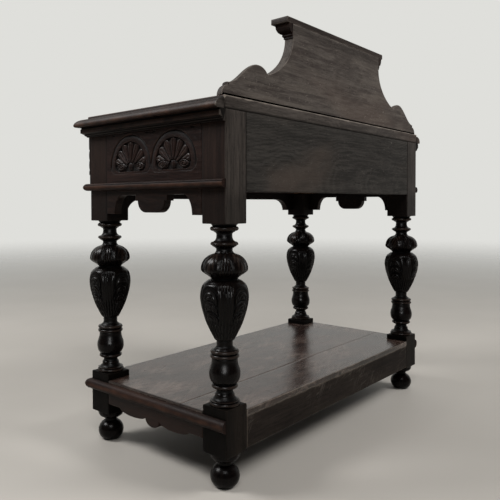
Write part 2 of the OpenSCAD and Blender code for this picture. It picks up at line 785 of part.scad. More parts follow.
// The front arris of the shoulders is rounded: seen from the rear, each step reaches further to the
// front and is drawn in more
round_steps = 6;
module gallery_shoulders() {
    r = min(shoulder_round, gallery_t - 3);
    for (i = [1:round_steps]) {
        depth = gallery_t - r + r * sin(90 * i / round_steps);
        points = shoulder(r - r * cos(90 * (i - 0.5) / round_steps));
        for (side = [0, 1]) mirror([side, 0, 0])
            translate([0, gallery_back_y - depth, top_z]) sawn(points, depth);
    }
}
module gallery_board() {
    half = gallery_middle();
    color(rough) difference() {
        union() {
            translate([0, gallery_face_y, top_z]) sawn(concat(half, left_half(half)), gallery_t);
            gallery_shoulders();
        }
        dowels(fit);
    }
}

module gallery_cap() {
    color(polished)
        translate([-gallery_neck_x - cap_over, gallery_face_y - cap_over, top_z + gallery_h - cap_t])
            cube([2 * (gallery_neck_x + cap_over), gallery_t + cap_over, cap_t]);
}

// An ovolo over two small fillets, under the cap
gallery_cornice_z = top_z + gallery_h - cap_t - gallery_cornice_h;
function gallery_cornice_profile() = concat(
    [[0, 0], [2, 0], [2, 4], [4.5, 6], [4.5, 11]],
    arc([4, gallery_cornice_h - 2], cap_over - 11, gallery_cornice_h - 13, -84, 0, 8),
    [[cap_over - 7, gallery_cornice_h], [0, gallery_cornice_h]]
);
module gallery_cornice_front() {
    color(polished)
        mitred_front(gallery_cornice_profile(), gallery_neck_x, gallery_face_y, gallery_cornice_z, 30);
}
module gallery_cornice_right() {
    color(polished) mitred_end(gallery_cornice_profile(), gallery_neck_x, gallery_face_y,
        gallery_back_y, gallery_cornice_z, 30);
}
module gallery_cornice_left() { mirror([1, 0, 0]) gallery_cornice_right(); }

// A round, a hollow and a ledge along the foot of the raised back
module gallery_base_moulding() {
    color(polished) translate([0, gallery_face_y, top_z]) rotate([90, 0, -90])
        linear_extrude(height = 2 * base_mould_x, center = true) polygon(concat(
            [[0, 0], [14, 0]],
            arc([14, 10], 10, 10, -80, 90, 10),
            [[9.5, 20.5], [8.5, 23], [9.5, 26], [16, 26], [16, base_mould_h], [0, base_mould_h]]
        ));
}

// Three dowels hold the raised back to the top
module dowels(gap = 0) {
    end = gap > 0 ? 2 * hole_end : 0;
    for (x = [-300, 0, 300])
        translate([x, gallery_face_y + gallery_t / 2, top_z])
            cylinder(d = dowel_d + 2 * gap, h = dowel_l + end, center = true);
}
module gallery_dowels() { color(inner) dowels(); }

front_left_leg();
front_right_leg();
rear_left_leg();
rear_right_leg();
front_left_foot();
front_right_foot();
rear_left_foot();
rear_right_foot();
table_top();
cornice_front();
cornice_left();
cornice_right();
end_frieze_left();
end_frieze_right();
back_panel();
upper_front_rail();
drawer_rail();
astragal_front();
astragal_left();
astragal_right();
apron_front();
apron_left();
apron_right();
carved_block_left();
carved_block_right();
drawer_front();
drawer_side_left();
drawer_side_right();
drawer_back();
drawer_bottom();
knob_left();
knob_right();
runner_left();
runner_right();
kickers();
drawer_stops();
glue_blocks();
shelf_front_board();
shelf_rear_board();
rear_lower_rail();
lower_rail_front();
lower_rail_left();
lower_rail_right();
shelf_bead_front();
shelf_bead_left();
shelf_bead_right();
gallery_board();
gallery_cap();
gallery_cornice_front();
gallery_cornice_left();
gallery_cornice_right();
gallery_base_moulding();
gallery_dowels();
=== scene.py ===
import itertools
from math import cos, pi, radians, sin

import bpy
import numpy as np
from mathutils import Matrix, Vector


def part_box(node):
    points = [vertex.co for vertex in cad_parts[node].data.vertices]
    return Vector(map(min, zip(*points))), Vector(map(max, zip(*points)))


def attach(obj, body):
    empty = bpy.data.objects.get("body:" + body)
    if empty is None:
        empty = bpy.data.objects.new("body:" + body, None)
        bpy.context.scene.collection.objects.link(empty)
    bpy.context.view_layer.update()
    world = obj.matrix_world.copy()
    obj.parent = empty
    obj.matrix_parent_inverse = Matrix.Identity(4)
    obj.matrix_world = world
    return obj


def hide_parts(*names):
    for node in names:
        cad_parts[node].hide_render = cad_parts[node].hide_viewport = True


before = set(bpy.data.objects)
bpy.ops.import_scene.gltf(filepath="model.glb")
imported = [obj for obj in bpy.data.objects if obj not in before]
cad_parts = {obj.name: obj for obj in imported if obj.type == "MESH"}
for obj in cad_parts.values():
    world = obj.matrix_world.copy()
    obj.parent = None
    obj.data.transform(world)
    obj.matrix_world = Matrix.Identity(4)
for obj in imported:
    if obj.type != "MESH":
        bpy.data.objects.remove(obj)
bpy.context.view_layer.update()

# Camera. It stands behind the right-hand back corner of the table, a little above the undertier and
# well under the top, as the photographer did. Its place and turn were solved from the straight edges.
yaw, pitch, roll = radians(221.548), radians(-1.221), radians(-0.173)
camera_place = Vector((1.3016, 0.9597, 0.5745))
picture_width = 500
focal_pixels = 580.06
centre_x, centre_y = 218.97, 215.65
forward = Vector((cos(yaw) * cos(pitch), sin(yaw) * cos(pitch), sin(pitch)))
level_right = Vector((sin(yaw), -cos(yaw), 0))
level_up = level_right.cross(forward)
camera_right = cos(roll) * level_right + sin(roll) * level_up
camera_up = cos(roll) * level_up - sin(roll) * level_right


def put_in_scene(name, data):
    """A new object of this data, shown in the scene."""
    made = bpy.data.objects.new(name, data)
    bpy.context.scene.collection.objects.link(made)
    return made


camera = put_in_scene("camera", bpy.data.cameras.new("camera"))
view_rows = [(*row, place) for *row, place in zip(camera_right, camera_up, -forward, camera_place)]
camera.matrix_world = Matrix(view_rows + [(0, 0, 0, 1)])
camera.data.sensor_width = 36
camera.data.lens = focal_pixels / picture_width * camera.data.sensor_width
camera.data.shift_x = 0.5 - centre_x / picture_width
camera.data.shift_y = centre_y / picture_width - 0.5
bpy.context.scene.camera = camera
bpy.context.scene.view_settings.view_transform = "Standard"


# Studio. A plain pale floor and surround, bright behind the table and dim behind the camera, and three
# soft lamps well above it. The right one lights the wood but doesn't show in its polish; a low window
# behind the camera shows only in the polish of the turned legs.
class Flow:
    """A socket of a shader tree. Arithmetic on it adds Math nodes, with the number on either side."""

    def __init__(self, socket):
        self.socket = socket
        self.tree = socket.id_data

    def node(self, kind, sockets=None, output=0, **settings):
        """Adds a node, with its settings first and then its sockets, and gives one of its outputs."""
        made = self.tree.nodes.new("ShaderNode" + kind)
        for key, value in settings.items():
            setattr(made, key, value)
        for key, value in (sockets or {}).items():
            if isinstance(value, Flow):
                self.tree.links.new(value.socket, made.inputs[key])
            else:
                made.inputs[key].default_value = value
        return Flow(made.outputs[output])

    def math(self, operation, other=0.0):
        return self.node("Math", {0: self, 1: other}, operation=operation)

    def __add__(self, other):
        return self.math("ADD", other)

    def __sub__(self, other):
        return self.math("SUBTRACT", other)

    def __rsub__(self, other):
        return self.node("Math", {0: other, 1: self}, operation="SUBTRACT")

    def __mul__(self, other):
        return self.math("MULTIPLY", other)

    __radd__ = __add__
    __rmul__ = __mul__

    def over(self, low, high):
        """0 below low, 1 above high, a smooth rise between them; falls where low is the greater."""
        ends = {"Value": self, "From Min": low, "From Max": high}
        return self.node("MapRange", ends, interpolation_type="SMOOTHSTEP")

    def noise(self, scale, detail=3.0, distortion=0.0):
        """A value near 0.5 that wanders, about scale times over each metre of these coordinates."""
        sockets = {"Vector": self, "Scale": scale, "Detail": detail, "Distortion": distortion}
        return self.node("TexNoise", sockets)

    def mix(self, first, second):
        """The first colour where this is 0, the second where it is 1."""
        return self.node("Mix", {0: self, 6: first, 7: second}, 2, data_type="RGBA")

    def into(self, node, socket):
        self.tree.links.new(self.socket, node.inputs[socket])


def colour(red, green, blue):
    """The linear colour of a screen colour given from 0 to 255."""
    screen = np.array([red, green, blue]) / 255
    linear = np.where(screen > 0.04045, ((screen + 0.055) / 1.055) ** 2.4, screen / 12.92)
    return (*map(float, linear), 1.0)


surround = colour(223, 223, 219)
floor_tones = colour(168, 163, 156), colour(172, 167, 160)
floor_reach, floor_fade = 12, (8.5, 0.9)
lamp_aim = Vector((0, 0, 0.55))
lamp_places = {
    "lamp_left": ((1.9, -1.9, 2.9), 1.2, 105),
    "lamp_right": ((-1.2, 2.4, 2.9), 1.2, 98),
    "lamp_behind": ((2.0, 1.6, 3.3), 1.2, 45),
    "window": ((2.5, 1.9, 1.2), 0.9, 58),
}
world = bpy.data.worlds.new("studio")
bpy.context.scene.world = world
world.use_nodes = True
light = world.node_tree.nodes["Background"]
light.inputs["Color"].default_value = surround
way = Flow(light.outputs[0]).node("TexCoord", output="Generated")
behind_table = way.node("VectorMath", {0: way, 1: forward}, "Value", operation="DOT_PRODUCT")
around = 0.05 + 0.8 * behind_table.over(-0.1, 0.75)
around.math("MAXIMUM", way.node("LightPath", output="Is Camera Ray")).into(light, "Strength")

turned_parts = bpy.data.collections.new("turned_parts")
for name, (place, size, power) in lamp_places.items():
    lamp = bpy.data.lights.new(name, "AREA")
    lamp.size = size
    lamp.energy = power
    holder = put_in_scene(name, lamp)
    holder.location = place
    holder.visible_camera = False
    holder.visible_glossy = name != "lamp_right"
    if name == "window":
        holder.visible_diffuse = False
        holder.light_linking.receiver_collection = turned_parts
    holder.rotation_euler = (lamp_aim - Vector(place)).to_track_quat("-Z", "Y").to_euler()

floor_mesh = bpy.data.meshes.new("floor")
floor_corners = [(x * floor_reach, y * floor_reach, 0) for x, y in ((-1, -1), (1, -1), (1, 1), (-1, 1))]
floor_mesh.from_pydata(floor_corners, [], [(0, 1, 2, 3)])
floor = put_in_scene("floor", floor_mesh)


def new_finish(name):
    """A new material, its shader, and where each point of the surface lies, in metres."""
    finish = bpy.data.materials.new(name)
    finish.use_nodes = True
    shader = finish.node_tree.nodes["Principled BSDF"]
    return finish, shader, Flow(shader.outputs[0]).node("TexCoord", output="Object")


floor_finish, floor_shader, floor_place = new_finish("pale_floor")
floor_shader.inputs["Roughness"].default_value = 0.6
floor_place.noise(2.0).over(0.3, 0.7).mix(*floor_tones).into(floor_shader, "Base Color")
floor_far = floor_place.node("VectorMath", {0: floor_place}, "Value", operation="LENGTH")
floor_far.over(*floor_fade).into(floor_shader, "Alpha")
floor_mesh.materials.append(floor_finish)


# Legs. Each is one length of dark oak: a square post above, a turned baluster with a carved cup and
# cover, and a square block below. Four carved leaves stand on the corners of the square stock.
def corners(node):
    """Lowest and highest corner of a node of the frame, in millimetres."""
    low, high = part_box(node)
    return np.array(low) * 1000, np.array(high) * 1000


def arc(centre, reach, height, start, stop, count=10):
    """Points of an ellipse between two angles in degrees."""
    angle = np.radians(np.linspace(start, stop, count + 1))
    return np.stack([centre[0] + reach * np.cos(angle), centre[1] + height * np.sin(angle)], axis=-1)


def s_curve(start, stop, count=10):
    """Half a cosine wave between two points; it leaves and arrives level in the first coordinate."""
    share = np.linspace(0, 1, count + 1)
    wave = (1 - np.cos(pi * share)) / 2
    return np.array(start) + (np.array(stop) - start) * np.stack([wave, share], axis=-1)


def half_round(low, high, inner, outer):
    """A turned ring: half an ellipse between two heights, from its inner to its outer radius."""
    return arc((inner, (low + high) / 2), outer - inner, (high - low) / 2, -90, 90)


def evenly(points, spacing):
    """The same line with its points about spacing apart, measured along it."""
    run = np.concatenate([[0], np.cumsum(np.hypot(*np.diff(points, axis=0).T))])
    at = np.linspace(0, run[-1], int(run[-1] / spacing) + 1)
    return np.stack([np.interp(at, run, points[:, 0]), np.interp(at, run, points[:, 1])], axis=-1)


def smooth(values, width):
    """A running mean over width values, with the ends held."""
    padded = np.pad(values, width // 2, mode="edge")
    return np.convolve(padded, np.ones(width) / width, mode="valid")[:len(values)]


def rise(values, low, high):
    """0 below low, 1 above high and a smooth rise between them."""
    share = np.clip((values - low) / (high - low), 0, 1)
    return share * share * (3 - 2 * share)


def grid_faces(rows, columns, closed=False):
    """The quads of a grid kept row by row. Rows go up, columns to the right seen from outside."""
    row, column = np.meshgrid(np.arange(rows - 1), np.arange(columns - (not closed)), indexing="ij")
    start, after = row * columns, (column + 1) % columns
    quads = [start + column, start + after, start + columns + after, start + columns + column]
    return np.stack(quads, axis=-1).reshape(-1, 4).tolist()


def ring_faces(rows, columns):
    """The quads of a stack of closed rings, with a face across its first ring and its last."""
    first = list(range(columns))
    return grid_faces(rows, columns, True) + [first[::-1], [k + (rows - 1) * columns for k in first]]


def turned(profile, centre, columns, carve=None):
    """A profile of radius and height swung round an upright axis, closed by a flat disc at each end.
    carve gives the depth cut away and the wear mark at an angle, a height and a radius; the mark holds
    wear and painted highlights above 0, dirt and painted shade below."""
    angle = np.linspace(0, 2 * pi, columns, endpoint=False)[None, :]
    radius, height = profile[:, :1], profile[:, 1:]
    # Ring crests are rubbed to the worn tone, which is wear and a painted highlight; the valleys between
    # rings get dirt and painted shade.
    ridge = profile[:, 0] - smooth(profile[:, 0], 9)
    mark = np.clip(ridge * 0.9, -1, 0.9)[:, None] * np.ones_like(angle)
    cut = np.zeros_like(mark)
    if carve:
        cut, carved_mark, where = carve(angle, height, radius)
        mark = mark * (1 - where) + carved_mark * where
    left = radius - cut
    points = [centre[0] + left * np.cos(angle), centre[1] + left * np.sin(angle), height + 0 * angle]
    return np.stack(points, axis=-1).reshape(-1, 3), ring_faces(len(profile), columns), mark.reshape(-1)


def soften(outline, radius, rim=6.0):
    """Rounds each corner that turns by more than 20 degrees. Gives the points, how far each lies from its
    corner, the way it goes when the outline is drawn in, and its wear: 1 on a sharp corner's curve and
    0 a rim's width from it."""
    sides = []
    for way in (1, -1):
        aim = np.roll(outline, way, axis=0) - outline
        run = np.hypot(*aim.T)[:, None]
        aim = aim / run
        inwards = way * np.stack([aim[:, 1], -aim[:, 0]], axis=-1)
        sides.append((aim, aim * np.minimum(radius, 0.4 * run),
                      outline + aim * np.minimum(1.2 * rim, 0.48 * run), inwards))
    (back, start, before, into), (ahead, stop, after, onward) = sides
    turn = np.degrees(np.arccos(np.clip(-(back * ahead).sum(axis=1), -1, 1)))
    share = np.linspace(0, 1, 4)[None, :, None]
    curve = (1 - share) ** 2 * start[:, None] + share ** 2 * stop[:, None]
    lean = (into + onward) / np.maximum(1 + (into * onward).sum(axis=1), 0.3)[:, None]
    still = np.zeros_like(outline)[:, None]
    spots = np.concatenate([before[:, None], outline[:, None] + curve, after[:, None]], axis=1)
    offsets = np.concatenate([still, curve, still], axis=1)
    leans = np.concatenate([into[:, None], np.repeat(lean[:, None], 4, axis=1), onward[:, None]], axis=1)
    wear = np.clip((turn - 15) / 45, 0, 1)[:, None] * np.array([0, 0.8, 1, 1, 0.8, 0])
    gentle = turn <= 20
    spots[gentle, 1], offsets[gentle, 1] = outline[gentle], 0
    keep = np.ones(spots.shape[:2], dtype=bool)
    keep[gentle] = np.arange(6) == 1
    return spots[keep], offsets[keep], leans[keep], wear[keep]


corner_kept = 0.88


def board(outline, thick, place, arris=1.2, corner=1.0, rim=6.0, edge=1.0):
    """A board with its arrises taken off: rings of an outline, anticlockwise seen from outside, from the
    inner face to the outer one. place turns points and a depth into x, y, z. edge is the wear on the
    arrises, and below 0 it darkens them with dirt and painted shade; a pair gives the inner first, and
    below 0 there paints shade over the whole inner face."""
    points, offsets, leans, worn = soften(np.array(outline, dtype=float), corner, rim)
    deep = min(rim, thick / 2 - 0.01)
    half = [(0, deep, 0), (0, arris, 0.7), (0.3 * arris, 0.3 * arris, 1), (arris, 0, 0.7), (rim, 0, 0)]
    rings = [(inset, thick - depth, mark) for inset, depth, mark in half[::-1]] + half
    made = [place(points + inset * leans - offsets * min(inset / corner, corner_kept), depth)
            for inset, depth, _ in rings]
    inner_edge, outer_edge = np.broadcast_to(edge, 2)
    marks = [np.maximum(worn, mark) * (inner_edge if depth > thick / 2 else outer_edge)
             for _, depth, mark in rings]
    # Below 0 the inner edge paints shade over the whole inner face.
    marks[0] = np.full_like(worn, min(inner_edge, 0))
    marks[-1] = np.zeros_like(worn)
    return np.concatenate(made), ring_faces(len(rings), len(points)), np.concatenate(marks)


def upright(top, centre=(0, 0)):
    """Places an outline in plan, x and y, with depths measured down from top."""
    return lambda points, depth: np.column_stack([points + centre, np.full(len(points), top - depth)])


def rectangle(x0, x1, y0, y1):
    return [(x0, y0), (x1, y0), (x1, y1), (x0, y1)]


piece_numbers = itertools.count(1)
sharp_angle = radians(32)


def add_piece(name, node, finish, *shells, slot="polished_oak", body="carcass"):
    """Joins surfaces given in millimetres into one piece, which stands for a node and rides on a body."""
    starts = np.cumsum([0] + [len(points) for points, _, _ in shells])
    faces = [[k + start for k in face] for start, (_, quads, _) in zip(starts, shells) for face in quads]
    mesh = bpy.data.meshes.new(name)
    mesh.from_pydata(np.concatenate([points for points, _, _ in shells]) / 1000, [], faces)
    for label, values in (("wear", np.concatenate([marks for _, _, marks in shells])),
                          ("number", np.full(starts[-1], float(next(piece_numbers))))):
        mesh.attributes.new(label, "FLOAT", "POINT").data.foreach_set("value", values.astype(np.float32))
    mesh.polygons.foreach_set("use_smooth", np.ones(len(mesh.polygons), dtype=bool))
    mesh.set_sharp_from_angle(angle=sharp_angle)
    mesh.materials.append(finish)
    made = put_in_scene(name, mesh)
    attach(made, body)
    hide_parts(node)
    return made


ring_turns = 2300


def oak(name, along, dark, light, worn, grime_and_shade, rough, shine, stain=None, scratches=0.0, grain=1.0,
        rear=None, figure=0.06, tint=(1, 1, 1, 1), darker_heights=None, marks=()):
    """Oak with its grain along an axis. Growth rings round a distant, tilted heart and streaks of three
    widths mix the dark and the light tone. Pores and scratches lie over them, and the wear attribute
    rubs ridges to the worn tone, which on the turned legs and the lunettes is also a painted highlight,
    and below 0 fills hollows, inner faces and corners with the darkest tone as dirt and painted shade.
    stain has a tone, its patches' scale and their share; rear the dark, light and worn tones of the bare
    faces at the table's back; darker_heights the heights over which the tone darkens to the darkest tone,
    and its share; and each of marks a turn from the grain, a length, a scale, a noise level, a share and
    a tone. figure is the share of the rings, and tint the colour of the polish. Tones are screen colours
    from 0 to 255."""
    dark, light, worn, grime_and_shade = (colour(*tone) for tone in (dark, light, worn, grime_and_shade))
    finish, shader, place = new_finish(name)
    number = place.node("Attribute", output="Fac", attribute_name="number")
    wood = place.node("VectorMath", {0: number, 1: (0.37, 0.71, 0.53), 2: place}, operation="MULTIPLY_ADD")

    axes = [place.node("SeparateXYZ", {0: place}, k) for k in range(3)]
    across = [axes[k] for k in range(3) if k != along]
    wander = wood.noise(3.5, 2) * 0.05
    first = across[0] + wander + 0.25 * (number * 0.618).math("FRACT") - 0.05
    second = across[1] + axes[along] * 0.06 + 0.3 * (number * 0.414).math("FRACT") - 0.9
    heart = (first * first + second * second).math("SQRT")
    rings = (heart * ring_turns).math("SINE") * 0.5 + 0.5

    def drawn_out(share, turn=(0, 0, 0), kind="POINT"):
        """The wood's coordinates with this scale along the grain."""
        scale = tuple(share if k == along else 1.0 for k in range(3))
        return wood.node("Mapping", {"Vector": wood, "Rotation": turn, "Scale": scale}, vector_type=kind)

    def strokes(turn, length, scale, level):
        """Strokes turned from the grain, in patches: 0 between them and 1 on them."""
        turned_wood = drawn_out(length, turn, "TEXTURE")
        return turned_wood.noise(scale, 1, 0.3).over(level, level + 0.08) * wood.noise(9, 2).over(0.42, 0.6)

    drawn = drawn_out(0.06)
    broad = drawn.noise(36, 2, 0.2)
    fine = drawn.noise(150, 3, 0.2)
    lines = drawn.noise(430, 2)
    streaks = broad * 0.3 + fine * 0.4 + lines * 0.3
    tone = (streaks + (rings - 0.5) * figure).over(0.38, 0.64)
    base = tone.mix(dark, light)
    if rear:
        bare_dark, bare_light, bare_worn = (colour(*tones) for tones in rear)
        bare = axes[1].over(back_y / 1000 - 0.004, back_y / 1000 - 0.001)
        base = bare.mix(base, tone.mix(bare_dark, bare_light))
        worn = bare.mix(worn, bare_worn)
    pores = drawn_out(0.12).noise(800, 1).over(0.58, 0.7) * (0.4 + 0.6 * rings)
    base = (pores * 0.6).mix(base, grime_and_shade)
    if stain:
        stain_tone, stain_scale, share = stain
        patches = drawn_out(0.4).noise(stain_scale, 6, 0.3)
        base = (patches.over(0.5, 0.75) * share).mix(base, colour(*stain_tone))
        base = (patches.over(0.48, 0.28) * (share * 0.8)).mix(base, dark)
    if scratches:
        base = (strokes((0.3, 0.4, 0.3), 14, 420, 0.66) * scratches).mix(base, worn)
    for turn, length, scale, level, share, mark_tone in marks:
        base = (strokes(turn, length, scale, level) * share).mix(base, colour(*mark_tone))
    # The tone darkens over the given heights.
    if darker_heights:
        base = (axes[2].over(darker_heights[0], darker_heights[1]) * darker_heights[2]).mix(base, grime_and_shade)
    wear = place.node("Attribute", output="Fac", attribute_name="wear")
    rubbed = (wear.math("MAXIMUM") + (wood.noise(38, 4) - 0.5) * 1.1).over(0.4, 1.15)
    # Below 0 the wear attribute paints shade, with some dirt, in the darkest tone.
    hollow = (wear * -1.0).math("MAXIMUM")
    base = (rubbed * 0.75).mix(base, worn)
    base = (hollow * 0.85).mix(base, grime_and_shade)
    base.into(shader, "Base Color")
    sheen = rough + (fine - 0.5) * 0.12 + (wood.noise(9, 3) - 0.5) * 0.14 + hollow * 0.25 + pores * 0.1
    sheen.into(shader, "Roughness")
    shader.inputs["Specular IOR Level"].default_value = shine
    shader.inputs["Specular Tint"].default_value = tint
    height = lines * 0.45 + fine * 0.35 - pores * 0.8
    bump = {"Strength": 0.35 * grain, "Distance": 0.0006, "Height": height}
    place.node("Bump", bump).into(shader, "Normal")
    return finish


leg_low, leg_high = corners("rear_right_leg")
shelf_low, shelf_high = corners("shelf_rear_board")
end_x = shelf_high[0]
back_y = shelf_high[1]
front_y = corners("shelf_front_board")[0][1]
mid_y = (front_y + back_y) / 2
stock = 64.0
leg_x = end_x - stock / 2
leg_y = {"front": front_y + stock / 2, "rear": back_y - stock / 2}
leg_places = [(f"{row}_{hand}", (sign * leg_x, leg_y[row]))
              for row in ("front", "rear") for hand, sign in (("left", -1), ("right", 1))]
foot_top = leg_low[2]
block_top = 167.0
post_bottom = 533.5
drawn_turning = 366.0
stretch = (post_bottom - block_top) / drawn_turning
neck, cup, cover, waist = 16.5, 50.0, 48.0, 28.0

taper = np.linspace(0, 1, 15)
carved_from, carved_to = 130, 315
below_cup = np.concatenate([
    [(20, -2), (stock / 2 - 4, -2)],
    half_round(0, 8, stock / 2 - 4, stock / 2 - 0.2),
    [(stock / 2 - 2, 10)],
    arc((stock / 2 - 2, 20.5), stock / 2 - 22, 10.5, -90, -180, 8),
    s_curve((20, 21), (neck, 27), 5),
    s_curve((neck, 30), (23, 34.5), 5),
    half_round(34.5, 42.5, 23, 27),
    [(21.5, 43)],
    arc((23.5, 64), 8.5, 19, -80, 0),
    s_curve((32, 65), (26.5, 90)),
    [(26.5, 95)],
    half_round(95, 103.5, 25, 30),
    half_round(104, 112, 24.5, 29.5),
    s_curve((22.5, 112.5), (neck, 119), 6),
    [(neck, carved_from)],
])
cup_and_cover = np.concatenate([
    [(neck, carved_from + 1)],
    np.stack([cup - (cup - 20) * (1 - taper) ** 1.7, 132 + 87 * taper], axis=-1),
    arc((waist, 219), cup - waist, 35, 8, 90, 12),
    s_curve((waist, 254.5), (cover, 274.5)),
    arc((16, 275.5), cover - 16, 30.5, 0, 72, 14),
    arc((neck + 9, 314), 9, 9, 250, 180, 6),
])
above_cover = np.concatenate([
    s_curve((neck, carved_to), (25.5, 322.5), 5),
    half_round(322.5, 328.5, 25.5, 28.5),
    arc((26.5, 339.5), 26.5 - neck, 10.5, -90, -180, 8),
    [(neck - 0.5, 345)],
    s_curve((neck, 346), (23, 351.5), 5),
    half_round(351.5, 360.5, 24, 29.3),
    [(24, 361), (28, drawn_turning), (28, drawn_turning + 2)],
])
baluster = np.concatenate([evenly(below_cup, 1.7), evenly(cup_and_cover, 1.1), evenly(above_cover, 1.7)])
baluster[:, 1] = block_top + baluster[:, 1] * stretch
baluster_columns = 256

arch_tiers = ((217.0, 20.0), (197.0, 18.0), (178.0, 15.5), (160.0, 12.5))
fine_pitch, body_pitch, sheaf_pitch, lobe_pitch = 5.6, 6.0, 5.8, 9.0
reed_deep, shade_deep, shade_reach = 1.9, 3.2, 8.0


def waves(across, pitch):
    """A row of rounded ribs: 0 on each crest and 1 in each hollow."""
    return 0.5 - 0.5 * np.cos(2 * pi * across / pitch)


def carve_leaves(angle, height, radius):
    """Depth of the carving. side goes from 0 on a leaf's rib to 1 between two leaves. On the cup, four
    tiers of arched lobes with rings of ribs stand between leaves that have fine ribs above and reeds at
    the foot. On the cover, broad smooth lobes lie between sheaves of ribs that flare on the corners."""
    drawn = (height - block_top) / stretch
    side = np.abs((np.degrees(angle) % 90) - 45) / 45
    across = side * pi / 4 * radius
    from_face = (1 - side) * pi / 4 * radius

    sheaf = 1 - rise(across, 12, 16)
    fine = sheaf * rise(drawn, 196, 218) * 1.8 * waves(across, fine_pitch)
    body = 0.8 * waves(across, body_pitch) + 0.5
    cup_cut = np.maximum(fine, body * (1 - rise(drawn, 226, 240)))
    for middle, reach in arch_tiers:
        from_middle = np.hypot(from_face, np.maximum(drawn - middle, 0))
        shade = shade_deep * np.clip(1 - (from_middle - reach) / shade_reach, 0, 1) ** 1.5
        inner = 1.7 * waves(reach - from_middle, reach / 2.4) * rise(from_middle, 2, 6)
        shade = shade * rise(drawn, middle - 34, middle - 16)
        cup_cut = np.where(from_middle < reach, inner, np.maximum(cup_cut, shade))
    reed_pitch = pi / 4 * radius / np.maximum(np.round(pi / 26 * radius), 1)
    reeds = 0.1 + reed_deep * waves(across, reed_pitch)
    at_foot = rise(drawn, 182, 168)
    cup_cut = cup_cut * (1 - at_foot) + reeds * at_foot
    in_cup = rise(drawn, 133, 140) * (1 - rise(drawn, 238, 247))
    step = 1.3 * rise(drawn, 246.4, 247.4) * (1 - rise(drawn, 256, 259))

    flare = side + 0.2 * (drawn - 285) / 30
    lobe = np.clip((flare - 0.3) / 0.7, 0, 1)
    smooth_lobe = 3.2 * (1 - np.sin(pi / 2 * lobe ** 0.6)) ** 1.2
    smooth_lobe = smooth_lobe + 0.5 * waves(across, lobe_pitch) * rise(side, 0.35, 0.5)
    in_sheaf = 1 - rise(flare, 0.25, 0.31)
    cover_cut = (1 - in_sheaf) * smooth_lobe + in_sheaf * (0.1 + reed_deep * waves(across, sheaf_pitch))
    in_cover = rise(drawn, 260, 267) * (1 - rise(drawn, 304, 311))

    depth = in_cup * cup_cut + in_cover * cover_cut + step
    where = np.maximum(in_cup, in_cover)
    # The mark rubs the carving's high points to the worn tone, wear and a painted highlight, and gives deep
    # cuts dirt and painted shade.
    return depth, np.clip(0.5 + 0.4 * in_cover - 0.8 * depth, -1, 0.9), where


# The worn tone, on ring crests and the carving's high points, is wear and a painted highlight; the darkest
# tone fills the hollows with dirt and painted shade.
dark_turned = oak("dark_turned_oak", 2, (6, 4, 4), (16, 11, 9), (48, 39, 34), (1, 1, 1), 0.25, 0.11,
                  grain=0.5)
post_oak = oak("post_oak", 2, (24, 15, 12), (42, 29, 24), (58, 46, 40), (8, 6, 5), 0.5, 0.12,
               stain=((50, 35, 29), 9, 0.4), scratches=0.3, darker_heights=(0.62, 0.57, 0.45),
               rear=((41, 37, 34), (65, 59, 55), (88, 81, 75)))
block_oak = oak("block_oak", 2, (4, 3, 2), (11, 8, 6), (32, 25, 21), (2, 2, 2), 0.5, 0.06, scratches=0.5,
                rear=((14, 11, 9), (31, 26, 22), (50, 43, 38)))


def shade_inside(shell, reach, shade):
    """The same surface with painted shade on what lies nearer the middle of the table than reach, in x or y.
    """
    points, faces, marks = shell
    inside = (np.abs(points[:, 0]) < reach[0]) | (np.abs(points[:, 1] - mid_y) < reach[1])
    return points, faces, np.where(inside, -shade, marks)


square = rectangle(-stock / 2, stock / 2, -stock / 2, stock / 2)
inner_faces = (leg_x - stock / 2 + 2, leg_y["rear"] - mid_y - stock / 2 + 2)
for corner, centre in leg_places:
    node = f"{corner}_leg"
    turning = turned(baluster, centre, baluster_columns, carve_leaves)
    turned_parts.objects.link(add_piece(f"{corner}_baluster", node, dark_turned, turning, slot="turned_oak"))
    post = board(square, leg_high[2] - post_bottom, upright(leg_high[2], centre), 1.4, 1.6, edge=0.5)
    # The post's inner faces get painted shade.
    post = shade_inside(post, inner_faces, 0.65)
    add_piece(f"{corner}_post", node, post_oak, post, slot="turned_oak")
    block = board(square, block_top - foot_top, upright(block_top, centre), 1.8, 1.6, edge=0.6)
    add_piece(f"{corner}_block", node, block_oak, block, slot="turned_oak")


# Feet. Turned oak balls on a short neck, with a collar against the block; a spigot holds each.
# They are turned from the same dark wood as the legs.
foot_radius, foot_neck = 30.5, 14.5
ball_height = 0.64 * foot_top
cut_angle, crown_angle = 52, 61
ball_rise = ball_height / (sin(radians(cut_angle)) + sin(radians(crown_angle)))
collar = 0.77 * foot_top
foot_profile = evenly(np.concatenate([
    [(1, 0)],
    arc((0, ball_rise * sin(radians(cut_angle))), foot_radius, ball_rise, -cut_angle, crown_angle, 24),
    [(foot_neck, ball_height), (foot_neck, collar - 3), (foot_neck + 2, collar)],
    arc((foot_neck + 3, foot_top - 4), 13, foot_top - 4 - collar, -90, 0, 8),
    [(foot_radius, foot_top), (1, foot_top)],
]), 1.2)
for corner, centre in leg_places:
    add_piece(f"{corner}_ball", f"{corner}_foot", dark_turned, turned(foot_profile, centre, 96),
              slot="turned_oak")


# Undertier rails. The rear one is a plain sawn board; the others have a waved lower edge, shallow
# swells with round lobes between, cut with a bow saw. All are tenoned into the blocks.
def on_side(side, along, out, up):
    """A place on one side of the table: along to the right seen from outside, out from the face of the
    legs, up from the floor."""
    along, out, up = np.broadcast_arrays(along, out, up)
    spots = {"front": (along, front_y - out), "back": (-along, back_y + out),
             "right": (end_x + out, mid_y + along), "left": (-end_x - out, mid_y - along)}
    return np.stack([*spots[side], up], axis=-1).reshape(-1, 3).astype(float)


